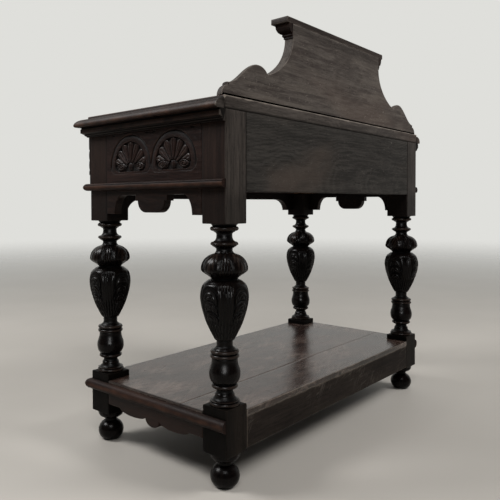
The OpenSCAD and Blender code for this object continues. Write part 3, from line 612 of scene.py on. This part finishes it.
def facing(side):
    """Places an outline of along and up on a side, with depths measured inwards from its face."""
    return lambda points, depth: on_side(side, points[:, 0], -depth, points[:, 1])


def along_sides(name, *tones, **settings):
    """The same oak for pieces along the front and for pieces along the ends, by the side's name."""
    endways = oak(f"{name}_end_oak", 1, *tones, **settings)
    return {"front": oak(f"{name}_front_oak", 0, *tones, **settings), "right": endways, "left": endways}


rail_top = shelf_low[2]
rail_thick = 20.0
run_x = 2 * end_x - 2 * stock
run_y = back_y - front_y - 2 * stock
wave_height, lobe_width, lobe_hang, swell_hang, rail_flat = 43.0, 46.0, 17.5, 10.0, 42.0

rough_rail = oak("rough_rail_oak", 0, (20, 16, 14), (42, 36, 32), (84, 76, 68), (10, 8, 7), 0.6, 0.08,
                 stain=((44, 38, 34), 7, 0.5), scratches=0.7, grain=1.4,
                 marks=[((0, 1.0, 0), 16, 300, 0.6, 0.5, (82, 76, 70)),
                        ((0, 0.2, 0), 16, 300, 0.62, 0.5, (82, 76, 70))])
dark_oak = along_sides("dark", (20, 12, 10), (38, 25, 20), (54, 37, 29), (5, 4, 3), 0.42, 0.14,
                       stain=((50, 33, 26), 6, 0.35))


def between_posts(node, side, *edges, **settings):
    """A plain board from post to post, as high and as thick as a node, flush with the posts."""
    low, high = corners(node)
    outline = rectangle(-run_x / 2, run_x / 2, low[2], high[2])
    return board(outline, high[1] - low[1], facing(side), *edges, **settings)


rear_rail = between_posts("rear_lower_rail", "back", 1.6)
add_piece("rear_rail", "rear_lower_rail", rough_rail, rear_rail, slot="rough_oak")


def wave_outline(run, lobes):
    """The lower edge from left to right, swell, lobe, swell and so on, then back along the top."""
    swell = (run - 2 * rail_flat - lobes * lobe_width) / (lobes + 1)
    low = rail_top - wave_height
    edge = [[(-run / 2, low)]]
    for place in range(lobes + 1):
        left = rail_flat - run / 2 + place * (swell + lobe_width)
        edge.append(arc((left + swell / 2, low), swell / 2, swell_hang, 180, 360, 14))
        if place < lobes:
            edge.append(arc((left + swell + lobe_width / 2, low), lobe_width / 2, lobe_hang, 180, 360, 16))
    return np.concatenate([*edge, [(run / 2, low), (run / 2, rail_top), (-run / 2, rail_top)]])


def apart(points):
    """The closed outline without points that repeat their neighbour."""
    step = np.hypot(*(points - np.roll(points, 1, axis=0)).T)
    return points[step > 0.05]


for side, run, lobes in (("front", run_x, 5), ("right", run_y, 1), ("left", run_y, 1)):
    waved = board(apart(wave_outline(run, lobes)), rail_thick, facing(side), 1.2, 0.8, 3)
    add_piece(f"waved_rail_{side}", f"lower_rail_{side}", dark_oak[side], waved)


# Undertier. Two oak boards side by side, notched round the blocks of the legs and waxed on top; the
# joint between them shows as a thin line along the whole length.
seam_y, seam_gap = shelf_low[1], 0.2
notch = stock + 0.15
shelf_thick = shelf_high[2] - shelf_low[2]
shelf_oak = oak("undertier_oak", 0, (26, 18, 16), (56, 42, 37), (90, 80, 72), (12, 8, 7), 0.24, 0.5,
                stain=((74, 57, 50), 9, 0.4), scratches=0.5, grain=0.4, tint=(1.0, 0.95, 0.9, 1.0),
                rear=((18, 14, 12), (38, 32, 29), (116, 107, 98)),
                marks=[((0, 0, 0.5), 9, 80, 0.5, 0.25, (106, 92, 84)),
                       ((0, 0, -0.3), 14, 160, 0.5, 0.3, (104, 90, 82))])
for row, outer_y, inwards in (("front", front_y, 1), ("rear", back_y, -1)):
    notch_y, joint_y = outer_y + inwards * notch, seam_y - inwards * seam_gap
    half = [(end_x - notch, outer_y), (end_x - notch, notch_y), (end_x, notch_y), (end_x, joint_y)]
    outline = half + [(-x, y) for x, y in half[::-1]]
    points, faces, marks = board(outline[::inwards], shelf_thick, upright(shelf_high[2]), 1.1, 0.8, 5)
    # The arrises beside the moulding get painted shade instead of the worn tone.
    shaded_beside_moulding = (np.abs(points[:, 0]) > end_x - 3) | (points[:, 1] < front_y + 3)
    marks = np.where(shaded_beside_moulding, -np.abs(marks), marks)
    add_piece(f"undertier_{row}", f"shelf_{row}_board", shelf_oak, (points, faces, marks))


# Mouldings at the height of the undertier. Half-round lengths, glued and pinned to the front and the
# ends, mitred at the front corners and cut off square at the back.
def moulding(profile, side, start, stop, mitred_start, mitred_stop, out, up, grooves=()):
    """A profile of out and up carried along a side, in rings at the ends and near them. At a mitred end
    each point runs on by its own projection. Painted shade darkens the corner against the board and the
    band between each groove's two heights."""
    points, _, _, worn = soften(apart(np.array(profile, dtype=float)), 0.5, 1.5)
    reach = points[:, 0]
    starts = start - reach * mitred_start
    stops = stop + reach * mitred_stop
    shares = np.array([0, 0.01, 0.99, 1.0])
    along = starts + (stops - starts) * shares[:, None]
    placed = on_side(side, along, out + reach, up + points[:, 1])
    nose = (np.maximum(reach, 0) / reach.max()) ** 4 * 0.75
    # The corner against the board gets painted shade, as does the band between each groove's two heights
    # below.
    nose = np.maximum(nose, worn * (reach > 0.5)) - (reach < 0.5)
    for low, high in grooves:
        nose = np.where((points[:, 1] > low) & (points[:, 1] < high), -1, nose)
    faces = [face[::-1] for face in ring_faces(len(shares), len(points))]
    return placed, faces, np.tile(nose, len(shares))


def round_three_sides(profile, up, grooves=(), half_x=end_x, near_y=front_y, far_y=back_y):
    """A moulding along the front and both ends of a board, mitred at the front corners. The board goes
    half_x each way and from near_y to far_y. Gives the surface for each side."""
    near, far, past_end = near_y - mid_y, far_y - mid_y, half_x - end_x
    runs = {"front": (-half_x, half_x, 1, 1, front_y - near_y), "right": (near, far, 1, 0, past_end),
            "left": (-far, -near, 0, 1, past_end)}
    return {side: moulding(profile, side, *run, up, grooves) for side, run in runs.items()}


def add_round(name, nodes, finishes, shells, slot="polished_oak"):
    """Adds the front, right and left lengths of a moulding as three pieces."""
    for side, shell in shells.items():
        add_piece(f"{name}_{side}", f"{nodes}_{side}", finishes[side], shell, slot=slot)


bead_low, bead_high = corners("shelf_bead_right")
bead_height = bead_high[2] - bead_low[2]
worn_oak = along_sides("worn", (18, 10, 8), (38, 23, 17), (76, 50, 37), (5, 3, 3), 0.55, 0.12,
                       stain=((66, 42, 30), 8, 0.5))
bead_profile = arc((0, bead_height / 2), bead_high[0] - bead_low[0], bead_height / 2, -90, 90, 20)
add_round("undertier_moulding", "shelf_bead", worn_oak,
          round_three_sides(bead_profile, bead_low[2]), "worn_oak")


# Aprons. Thin boards under the frieze, sawn to a lobe in the middle, a level arch each side of it
# and a curved bracket against each post.
apron_top = corners("apron_right")[1][2]
astragal_low, astragal_high = corners("astragal_right")
apron_z = astragal_low[2]
apron_thick = 20.0
bracket_drop, lobe_drop, lobe_radius = 55.0, 51.0, 26.0


def apron_outline(run, lobe_flat, arch_drop, curve_width, bracket_width):
    """Half the outline from the middle to the post, with heights measured from the apron's line; the
    other half is its mirror image."""
    lobe_side = lobe_flat / 2 + lobe_radius + 8
    half = np.concatenate([
        [(lobe_flat / 2, -lobe_drop)],
        arc((lobe_flat / 2, lobe_radius - lobe_drop), lobe_radius, lobe_radius, -80, 0, 12),
        [(lobe_side, lobe_radius - lobe_drop), (lobe_side, -arch_drop)],
        arc((run / 2 - bracket_width - curve_width, -bracket_drop), curve_width, bracket_drop - arch_drop,
            90, 0, 18),
        [(run / 2, -bracket_drop), (run / 2, apron_top - apron_z)],
    ])
    return apart(np.concatenate([half, half[::-1] * (-1, 1)]) + (0, apron_z))


end_apron = apron_outline(run_y, 36, 12, 27, 28.5)
front_apron = apron_outline(run_x, 60, 19, 52, 34)
for side, outline in (("right", end_apron), ("left", end_apron), ("front", front_apron)):
    # The inner face gets painted shade; the outer arrises are worn.
    sawn = board(outline, apron_thick, facing(side), 1.2, 0.8, 3, (-0.8, 0.5))
    add_piece(f"sawn_apron_{side}", f"apron_{side}", dark_oak[side], sawn)


# End friezes. An oak board between the posts at each end, carved with two lunettes: an incised arch,
# a plain band, and seven petals that fan from a bud between two scrolls in a sunk ground.
frieze_low = astragal_high[2]
cornice_low, cornice_high = corners("cornice_right")
frieze_high = cornice_low[2]
lunette_radius, lunette_band, lunette_sink, lunette_foot = 69.3, 16.3, 4.0, 19.0
lunette_z = frieze_low + 38.5
petal_count, petal_lean, fan_drop, fan_start = 7, 23.4, 7.0, 14.0
petal_gap, tip_round, crease_deep, arch_deep = 0.8, 11.0, 1.1, 2.5
scroll_across, scroll_up, scroll_stretch, scroll_reach, scroll_pitch = 31.5, -3.5, 1.75, 9.4, 4.5


def arch_border(across, up, reach, corner):
    """Distance outside an arch: a half circle above, closed below by a line with rounded corners."""
    below = np.hypot(np.maximum(np.abs(across) - reach + corner, 0), up) - corner
    return np.where(up >= 0, np.hypot(across, up) - reach, below)


def dome_of(share, power=2):
    """The section of a dome: 1 in the middle, 0 at its edge and beyond."""
    return np.sqrt(np.clip(1 - share ** power, 0, 1))


def near_line(distance, width):
    """A bell: 1 on a line, about a third one width from it."""
    return np.exp(-(distance / width) ** 2)


def lunette(across, up):
    """Depth below the board's face, and a wear mark, round a lunette's centre. The mark holds wear with
    painted highlights on the raised parts, the lips and the arch's upper arris, and dirt with painted shade
    in the sunk ground and the cut. A steep cut runs round the whole arch and dies away inwards. In the
    sunk ground, petals with a crease fan out to the border, each rounded off at its tip; a flattened
    scroll lies each side of a bud at the foot."""
    ground_reach = lunette_radius - lunette_band
    border = arch_border(across, up, lunette_radius, lunette_foot)
    edge = arch_border(across, up, ground_reach, lunette_foot - 5.5)
    line = rise(-border, -0.8, 0.9) * np.exp(-np.maximum(-border - 0.9, 0) / 2.9)
    line = line * (0.5 + arch_deep * rise(up, -14, 4)) * (1 - (up < 0) * near_line(across, 13))
    raised = np.zeros_like(edge)
    reach = np.hypot(across, up + fan_drop)
    bearing = np.arctan2(across, up + fan_drop)
    for step in range(petal_count):
        lean = radians(petal_lean * (step - (petal_count - 1) / 2))
        tip = fan_drop * cos(lean) + np.sqrt((ground_reach - 0.5) ** 2 - (fan_drop * sin(lean)) ** 2)
        lengthwise = reach * np.cos(bearing - lean)
        sideways = np.abs(reach * np.sin(bearing - lean))
        half_width = np.maximum(lengthwise, 4) * np.tan(radians(petal_lean / 2)) - petal_gap
        shoulder = np.clip((lengthwise - tip + tip_round) / tip_round, 0, 1)
        half_width = half_width * np.sqrt(np.clip(1 - shoulder ** 2, 0.0005, 1))
        dome = dome_of(sideways / half_width)
        crease = crease_deep * near_line(sideways, 1.1) * rise(lengthwise, 18, 26)
        crease = crease * (1 - rise(shoulder, 0.4, 1))
        inside = (lengthwise > fan_start) & (lengthwise < tip) & (sideways < half_width)
        raised = np.maximum(raised, inside * (1.2 + (lunette_sink - 1.3) * dome - crease))
    for sign in (-1, 1):
        beside, above = (sign * across - scroll_across) / scroll_stretch, up - scroll_up
        from_scroll = np.hypot(beside, above)
        coil = from_scroll / scroll_pitch - np.arctan2(above, beside) / (2 * pi)
        groove = 2.6 * near_line(coil - np.round(coil), 0.17) * rise(from_scroll, 0.5, 2)
        boss = (lunette_sink - 0.1) * dome_of(from_scroll / scroll_reach, 6) - groove
        raised = raised * rise(from_scroll, scroll_reach, scroll_reach + 1.2)
        raised = np.maximum(raised, boss * (from_scroll < scroll_reach))
    from_bud = np.hypot(across / 9, (up + 3) / 10)
    bud = lunette_sink * dome_of(from_bud) - 0.9 * waves(across, 4.4)
    raised = np.maximum(raised * rise(from_bud, 0.95, 1.1), bud * (from_bud < 0.97))
    inside = 1 - rise(edge, -0.4, 1.0)
    sunk = np.maximum(lunette_sink * inside - raised * (edge < 0.3), 0)
    along, aside = np.abs(across) - 59, up - 70 + 0.15 * (np.abs(across) - 59)
    dart = 2.0 * dome_of(np.hypot(along / 6.5, aside / 2.0))
    depth = np.maximum(np.maximum(sunk, line), dart)
    lip = near_line(edge - 2.2, 1.0) + near_line(border - 1.6, 1.1)
    # High points of the carving are rubbed to the worn tone, which is wear and a painted highlight; the sunk
    # ground and the cut get dirt and painted shade by their depth.
    wear = np.where(edge < 0.5, np.clip(0.6 - 0.5 * depth, -1, 0.6), -np.clip(depth * 0.8, 0, 1))
    # The arch's arris gets the worn tone only on its upper part, a painted highlight where light falls; the
    # lips get wear and a painted highlight too.
    arris = near_line(border - 0.1, 0.7) * rise(up, -8, 6)
    return depth, wear * (1 - arris) + 0.75 * arris + 0.6 * lip * (depth < 0.2)


def carved_board(side, spans, thick, relief, step, out=0.0):
    """A board whose outer face is a grid pushed in by a relief of along and up, with flat edges and
    back. spans are the first and last along, and the lowest and highest up."""
    first, last, low, high = spans
    columns = int(round((last - first) / step)) + 1
    rows = int(round((high - low) / step)) + 1
    along, up = np.meshgrid(np.linspace(first, last, columns), np.linspace(low, high, rows))
    depth, marks = relief(along, up)
    face = on_side(side, along, out - depth, up)
    back = on_side(side, np.array([first, last, last, first]), out - thick, np.array([low, low, high, high]))
    count = rows * columns
    bottom = list(range(columns))
    top = [count - columns + k for k in bottom]
    left = [k * columns for k in range(rows)]
    right = [k + columns - 1 for k in left]
    b0, b1, b2, b3 = range(count, count + 4)
    faces = grid_faces(rows, columns)
    faces += [bottom[::-1] + [b0, b1], top + [b2, b3], left + [b3, b0], right[::-1] + [b1, b2],
              [b3, b2, b1, b0]]
    return np.concatenate([face, back]), faces, np.concatenate([marks.reshape(-1), np.zeros(4)])


def lunette_row(places):
    """The relief of a board with lunettes at the given places along it."""
    def relief(along, up):
        near = places[np.abs(along[..., None] - places).argmin(axis=-1)]
        return lunette(along - near, up - lunette_z)
    return relief


end_pitch = 139.0
frieze_thick = 22.0
end_low, end_high = corners("end_frieze_right")
carved_oak = along_sides("carved", (24, 14, 12), (44, 29, 25), (84, 63, 52), (3, 2, 2), 0.38, 0.16,
                         stain=((54, 36, 30), 7, 0.4))
for side in ("right", "left"):
    carved = carved_board(side, (-run_y / 2, run_y / 2, end_low[2], end_high[2]), frieze_thick,
                          lunette_row(np.array([-0.5, 0.5]) * end_pitch), 0.9)
    add_piece(f"carved_frieze_{side}", f"end_frieze_{side}", carved_oak[side], carved)


# Front rails. A rail over the drawer and one under it, plain oak, tenoned between the front posts.
# The drawer closes between them.
for name, node in (("rail_over_drawer", "upper_front_rail"), ("rail_under_drawer", "drawer_rail")):
    add_piece(name, node, dark_oak["front"], between_posts(node, "front", 1.0, 0.8, 4))


# Carved blocks. One is glued on the face of each front post beside the drawer: smooth at the top,
# three overlapping scales with veins below, and a plain foot that stands back.
block_out = 6.0
scale_count, scale_height, scale_cut = 3, 23.5, 2.5
frieze_height = frieze_high - frieze_low
scales_high = frieze_height - 31
scales_low = scales_high - scale_count * scale_height


def block_relief(along, up):
    """Depth below the block's outermost plane. Each scale is an arc that bulges between two notches;
    the notches bow down towards the middle of the block, and veins fan from each scale's top."""
    height = up - frieze_low + 4.5 * (1 - (2 * along / stock) ** 2)
    share = (height - scales_low) / scale_height
    in_scale = share - np.floor(share)
    bulge = scale_cut * (1 - dome_of(2 * in_scale - 1))
    vein = 0.45 * waves(along, 5.5 + 2.5 * in_scale) * (np.abs(along) < 27)
    scales = (height > scales_low + scale_height / 2) & (height < scales_high)
    top = scale_cut * np.exp(-np.maximum(height - scales_high, 0) / 2.2)
    foot = (height <= scales_low + scale_height / 2) * 3.0
    depth = np.where(scales, bulge + vein, np.where(height >= scales_high, top, foot))
    margin = 0.5 * near_line(np.abs(along) - stock / 2 + 5, 0.7)
    # Raised scales are rubbed to the worn tone, and cuts get dirt and painted shade by their depth.
    return depth + margin, np.clip(0.4 - 0.45 * depth, -1, 0.4)


for hand, sign in (("left", -1), ("right", 1)):
    spans = (sign * leg_x - stock / 2, sign * leg_x + stock / 2, frieze_low, frieze_high)
    scaled = carved_board("front", spans, block_out, lambda along, up: block_relief(along - sign * leg_x, up),
                          1.0, out=block_out)
    add_piece(f"scaled_block_{hand}", f"carved_block_{hand}", dark_oak["front"], scaled)


# Drawer. The front is carved with four lunettes and has two turned knobs; the sides, back and bottom
# are lighter oak that was never polished, dovetailed and grooved together.
drawer_low, drawer_high = corners("drawer_front")
lunette_pitch = 176.0
inner_oak = along_sides("inner", (112, 86, 62), (146, 116, 86), (160, 132, 100), (70, 52, 38), 0.6, 0.2,
                        stain=((104, 78, 56), 6, 0.4))
front_spans = (drawer_low[0] + 0.3, drawer_high[0] - 0.3, drawer_low[2], drawer_high[2])
carved = carved_board("front", front_spans, drawer_high[1] - drawer_low[1],
                      lunette_row(np.array([-1.5, -0.5, 0.5, 1.5]) * lunette_pitch), 1.0)
add_piece("carved_drawer_front", "drawer_front", carved_oak["front"], carved, body="drawer")
endways_nodes = ["drawer_side_left", "drawer_side_right", "runner_left", "runner_right", "kickers"]
across_nodes = ["drawer_back", "drawer_bottom", "drawer_stops", "glue_blocks", "gallery_dowels"]
for side, nodes in (("right", endways_nodes), ("front", across_nodes)):
    for node in nodes:
        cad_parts[node].data.materials.clear()
        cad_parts[node].data.materials.append(inner_oak[side])

knob_radius, knob_out = 15.0, 24.0
knob_z = frieze_low + frieze_height / 2
knob_profile = evenly(np.concatenate([
    [(6, -20), (6, 0), (10, 0)],
    arc((knob_radius * 0.7, 2), knob_radius * 0.13, 2, -90, 90, 8),
    s_curve((knob_radius * 0.66, 4.5), (knob_radius * 0.48, knob_out * 0.4), 6),
    arc((0, knob_out * 0.7), knob_radius, knob_out * 0.3, -60, 88, 18),
]), 0.8)
for hand, sign in (("left", -1), ("right", 1)):
    points, faces, marks = turned(knob_profile, (0, 0), 64)
    placed = on_side("front", sign * lunette_pitch + points[:, 0], points[:, 2], knob_z + points[:, 1])
    knob = (placed, [face[::-1] for face in faces], marks)
    add_piece(f"turned_knob_{hand}", f"knob_{hand}", dark_turned, knob, slot="turned_oak", body="drawer")


# Astragal. A half round on a fillet that covers the joint between the frieze and the aprons. A fine
# groove is scratched along its upper part.
astragal_height = astragal_high[2] - astragal_low[2]
round_out = 8.5
fillet = astragal_high[0] - astragal_low[0] - round_out
groove_angle = 32
groove_z = astragal_height / 2 * (1 + sin(radians(groove_angle)))


def astragal_arc(start, stop, count):
    return arc((fillet, astragal_height / 2), round_out, astragal_height / 2, start, stop, count)


astragal_profile = np.concatenate([
    [(0, 0)],
    astragal_arc(-90, groove_angle - 5, 14),
    [(fillet + round_out * cos(radians(groove_angle)) - 1.3, groove_z)],
    astragal_arc(groove_angle + 5, 90, 8),
    [(0, astragal_height)],
])
# The scratched groove is darkened with painted shade.
groove_shade = [(groove_z - 1.1, groove_z + 1.1)]
add_round("astragal_moulding", "astragal", worn_oak,
          round_three_sides(astragal_profile, astragal_low[2], groove_shade), "worn_oak")


# Back. A panel of rough oak between the rear posts, never polished, streaked grey by the air.
# It is tenoned into the posts like the friezes.
pale_scrapes = ((0, 1.1, 0), 2, 120, 0.76, 0.7, (140, 134, 126))
rough_back = oak("rough_back_oak", 0, (36, 34, 32), (57, 54, 51), (84, 79, 75), (12, 11, 10), 0.6, 0.1,
                 stain=((70, 61, 55), 7, 0.7), scratches=0.6, figure=0.08, marks=[pale_scrapes])
# The panel's inner face gets painted shade, and its arrises dirt and painted shade.
panel = between_posts("back_panel", "back", 0.8, 0.8, 3, edge=-0.45)
add_piece("rear_panel", "back_panel", rough_back, panel, slot="rough_oak")


# Cornice. A small swelling moulding that carries the edge of the top. Two fine grooves are cut along
# its foot, and a hollow runs under the top, so that the top's nose stands clear of it.
def ogee(start, stop, count):
    """Half a cosine wave between two points; it leaves and arrives level in the second coordinate."""
    return s_curve(start[::-1], stop[::-1], count)[:, ::-1]


cornice_height = cornice_high[2] - cornice_low[2]
cornice_out = cornice_high[0] - cornice_low[0]
hollow_height, hollow_deep = 4.0, 1.5
hollow_z = cornice_height - hollow_height
swell = evenly(ogee((3.5, 0), (cornice_out, cornice_height * 0.42), 14), 0.7)
foot_grooves = (cornice_height * 0.1, cornice_height * 0.27)
for height in foot_grooves:
    swell[:, 0] -= 1.6 * near_line(swell[:, 1] - height, 0.7)
cornice_profile = np.concatenate([
    [(0, 0)],
    swell,
    [(cornice_out, hollow_z), (cornice_out - hollow_deep, hollow_z + 0.3)],
    [(cornice_out - hollow_deep, cornice_height), (0, cornice_height)],
])
# The two foot grooves and the hollow under the top are darkened with painted shade.
cornice_shade = [(height - 0.9, height + 0.9) for height in foot_grooves]
cornice_shade.append((hollow_z + 0.1, cornice_height + 1))
# The cornice's dark tones paint the shade that falls under the top.
shaded_oak = along_sides("shaded", (14, 10, 8), (30, 22, 19), (56, 40, 33), (1, 1, 1), 0.42, 0.1,
                         rear=((40, 35, 32), (66, 60, 55), (92, 85, 79)))
add_round("cornice_moulding", "cornice", shaded_oak,
          round_three_sides(cornice_profile, cornice_low[2], cornice_shade))


# Table top. One wide oak board. Its front and ends are moulded: a small step down, a long round and
# a fine nose at the bottom. The back edge is left square.
top_low, top_high = corners("table_top")
top_thick = top_high[2] - top_low[2]
edge_width, edge_step, nose_drop = 25.0, 6.0, 4.5
field_x = top_high[0] - edge_width
field_y = top_low[1] + edge_width
top_oak = oak("top_oak", 0, (20, 12, 10), (42, 27, 21), (80, 55, 42), (5, 4, 3), 0.52, 0.14,
              stain=((62, 43, 34), 5, 0.5), scratches=0.3,
              rear=((51, 46, 43), (80, 74, 69), (148, 137, 127)))
edge_profile = np.concatenate([
    [(0, 0), (edge_width - 6, 0)],
    arc((edge_width - 5.5, nose_drop), 5.5, nose_drop, -90, -15, 8),
    arc((0, nose_drop), edge_width, top_thick - nose_drop - edge_step, 0, 86, 18),
    [(0, top_thick - edge_step)],
])
# The underside and its arrises get painted shade; the upper arrises are worn.
top_field = board(rectangle(-field_x, field_x, field_y, top_high[1]), top_thick, upright(top_high[2]),
                  2.0, 1.0, edge=(-1.0, 1.0))
top_edges = round_three_sides(edge_profile, top_low[2], (), field_x, field_y, top_high[1])
add_piece("moulded_top", "table_top", top_oak, top_field, *top_edges.values())


# Raised back. A board with a straight neck, hollow sides and a scrolled shoulder each side, sawn out
# and then rounded over along the front of the shoulders. Its rear is bare and grey.
gallery_low, gallery_high = corners("gallery_board")
gallery_x = gallery_high[0]
gallery_thick = gallery_high[1] - gallery_low[1]
neck_x, scroll_x, scroll_h, neck_h = 209.5, 339.0, 77.5, 161.5
notch_x, notch_h = scroll_x - 36, scroll_h - 15
hollow_turn = 66
shoulder_round = 19.0
board_h = gallery_high[2] - top_high[2]


def gallery_outline():
    """The board's outline, anticlockwise seen from behind, from the foot of one end to the other."""
    reach = (notch_x - neck_x) / (1 - cos(radians(hollow_turn)))
    fall = (neck_h - notch_h) / sin(radians(hollow_turn))
    half = np.concatenate([
        arc((gallery_x - 18, 0), 18, 21.5, 0, 90, 12),
        ogee((gallery_x - 17.5, 28), (scroll_x, scroll_h), 30),
        arc((scroll_x - 3, scroll_h - 25.5), 34, 25.5, 88, 155, 14),
        [(notch_x, notch_h), (notch_x - 0.01, notch_h)],
        arc((neck_x + reach, neck_h), reach, fall, hollow_turn - 180 - 0.3, -180, 34),
        [(neck_x, board_h)],
    ])
    return np.concatenate([half, half[::-1] * (-1, 1)])


def gallery_shell():
    """Rings of the outline from the front face to the rear. The front ones follow a quarter circle and
    shrink each shoulder towards the foot of the notch, and the last ones take off the rear arris."""
    points, offsets, leans, worn = soften(gallery_outline(), 1.0, 5)
    shoulders = np.abs(points[:, 0]) > notch_x - 0.005
    sign = np.sign(points[shoulders, 0])
    turn = np.radians(np.linspace(90, 0, 15))
    rings = [(shoulder_round, 4, 0, 0)]
    rings += [(shoulder_round * (1 - cos(a)), 0, shoulder_round * (1 - sin(a)), 0.25 * cos(a)) for a in turn]
    rings += [(0, 0, gallery_thick - 1.2, 0.5), (0, 0.35, gallery_thick - 0.35, 1),
              (0, 1.2, gallery_thick, 0.6), (0, 5, gallery_thick, 0)]
    made, marks = [], []
    for inset, drawn_in, depth, mark in rings:
        ring = points + drawn_in * leans - offsets * min(drawn_in, corner_kept)
        past_notch = np.abs(ring[shoulders, 0]) - notch_x
        ring[shoulders, 0] = sign * (notch_x + past_notch * (1 - inset / (gallery_x - notch_x)))
        ring[shoulders, 1] *= 1 - inset / scroll_h
        out = gallery_high[1] - back_y - gallery_thick + depth
        made.append(on_side("back", ring[:, 0], out, ring[:, 1] + top_high[2]))
        rubbed = mark if drawn_in else max(mark, 0.9 * np.exp(-depth / 3))
        marks.append(np.where(points[:, 1] < 0.5, -0.6 * mark, np.where(shoulders, mark, rubbed)))
    return np.concatenate(made), ring_faces(len(rings), len(points)), np.concatenate(marks)


gallery_oak = oak("raised_back_oak", 0, (57, 51, 48), (84, 78, 73), (118, 110, 103), (24, 21, 19), 0.58, 0.1,
                  stain=((86, 74, 67), 6, 0.45), scratches=0.7, figure=0.04, darker_heights=(0.95, 0.962, 0.3),
                  marks=[((0, 0.04, 0), 12, 60, 0.5, 0.22, (108, 100, 92)), pale_scrapes])
add_piece("scrolled_back", "gallery_board", gallery_oak, gallery_shell(), slot="rough_oak")

cap_low, cap_high = corners("gallery_cap")
cap_oak = oak("cap_oak", 0, (36, 30, 27), (58, 50, 46), (92, 84, 78), (10, 8, 7), 0.5, 0.12)
cap = board(rectangle(cap_low[0], cap_high[0], cap_low[1], cap_high[1]), cap_high[2] - cap_low[2],
            upright(cap_high[2]), 1.4, 1.2, 5)
add_piece("cap_board", "gallery_cap", cap_oak, cap)

small_low, small_high = corners("gallery_cornice_front")
small_height = small_high[2] - small_low[2]
cap_over = cap_high[0] - neck_x
small_profile = np.concatenate([
    [(0, 0), (2, 0), (2, 4), (4.5, 6), (4.5, 11)],
    arc((4, small_height - 2), cap_over - 11, small_height - 13, -84, 0, 12),
    [(cap_over - 7, small_height), (0, small_height)],
])
face_y = gallery_low[1]
add_round("cap_moulding", "gallery_cornice", dark_oak,
          round_three_sides(small_profile, small_low[2], (), neck_x, face_y, gallery_high[1]))

base_low, base_high = corners("gallery_base_moulding")
base_height = base_high[2] - base_low[2]
base_profile = np.concatenate([
    [(0, 0), (14, 0)],
    arc((14, 10), 10, 10, -80, 90, 14),
    [(9.5, 20.5), (8.5, 23), (9.5, 26), (16, 26), (16, base_height), (0, base_height)],
])
foot = moulding(base_profile, "front", base_low[0], base_high[0], 0, 0, front_y - face_y, base_low[2])
add_piece("foot_moulding", "gallery_base_moulding", dark_oak["front"], foot)
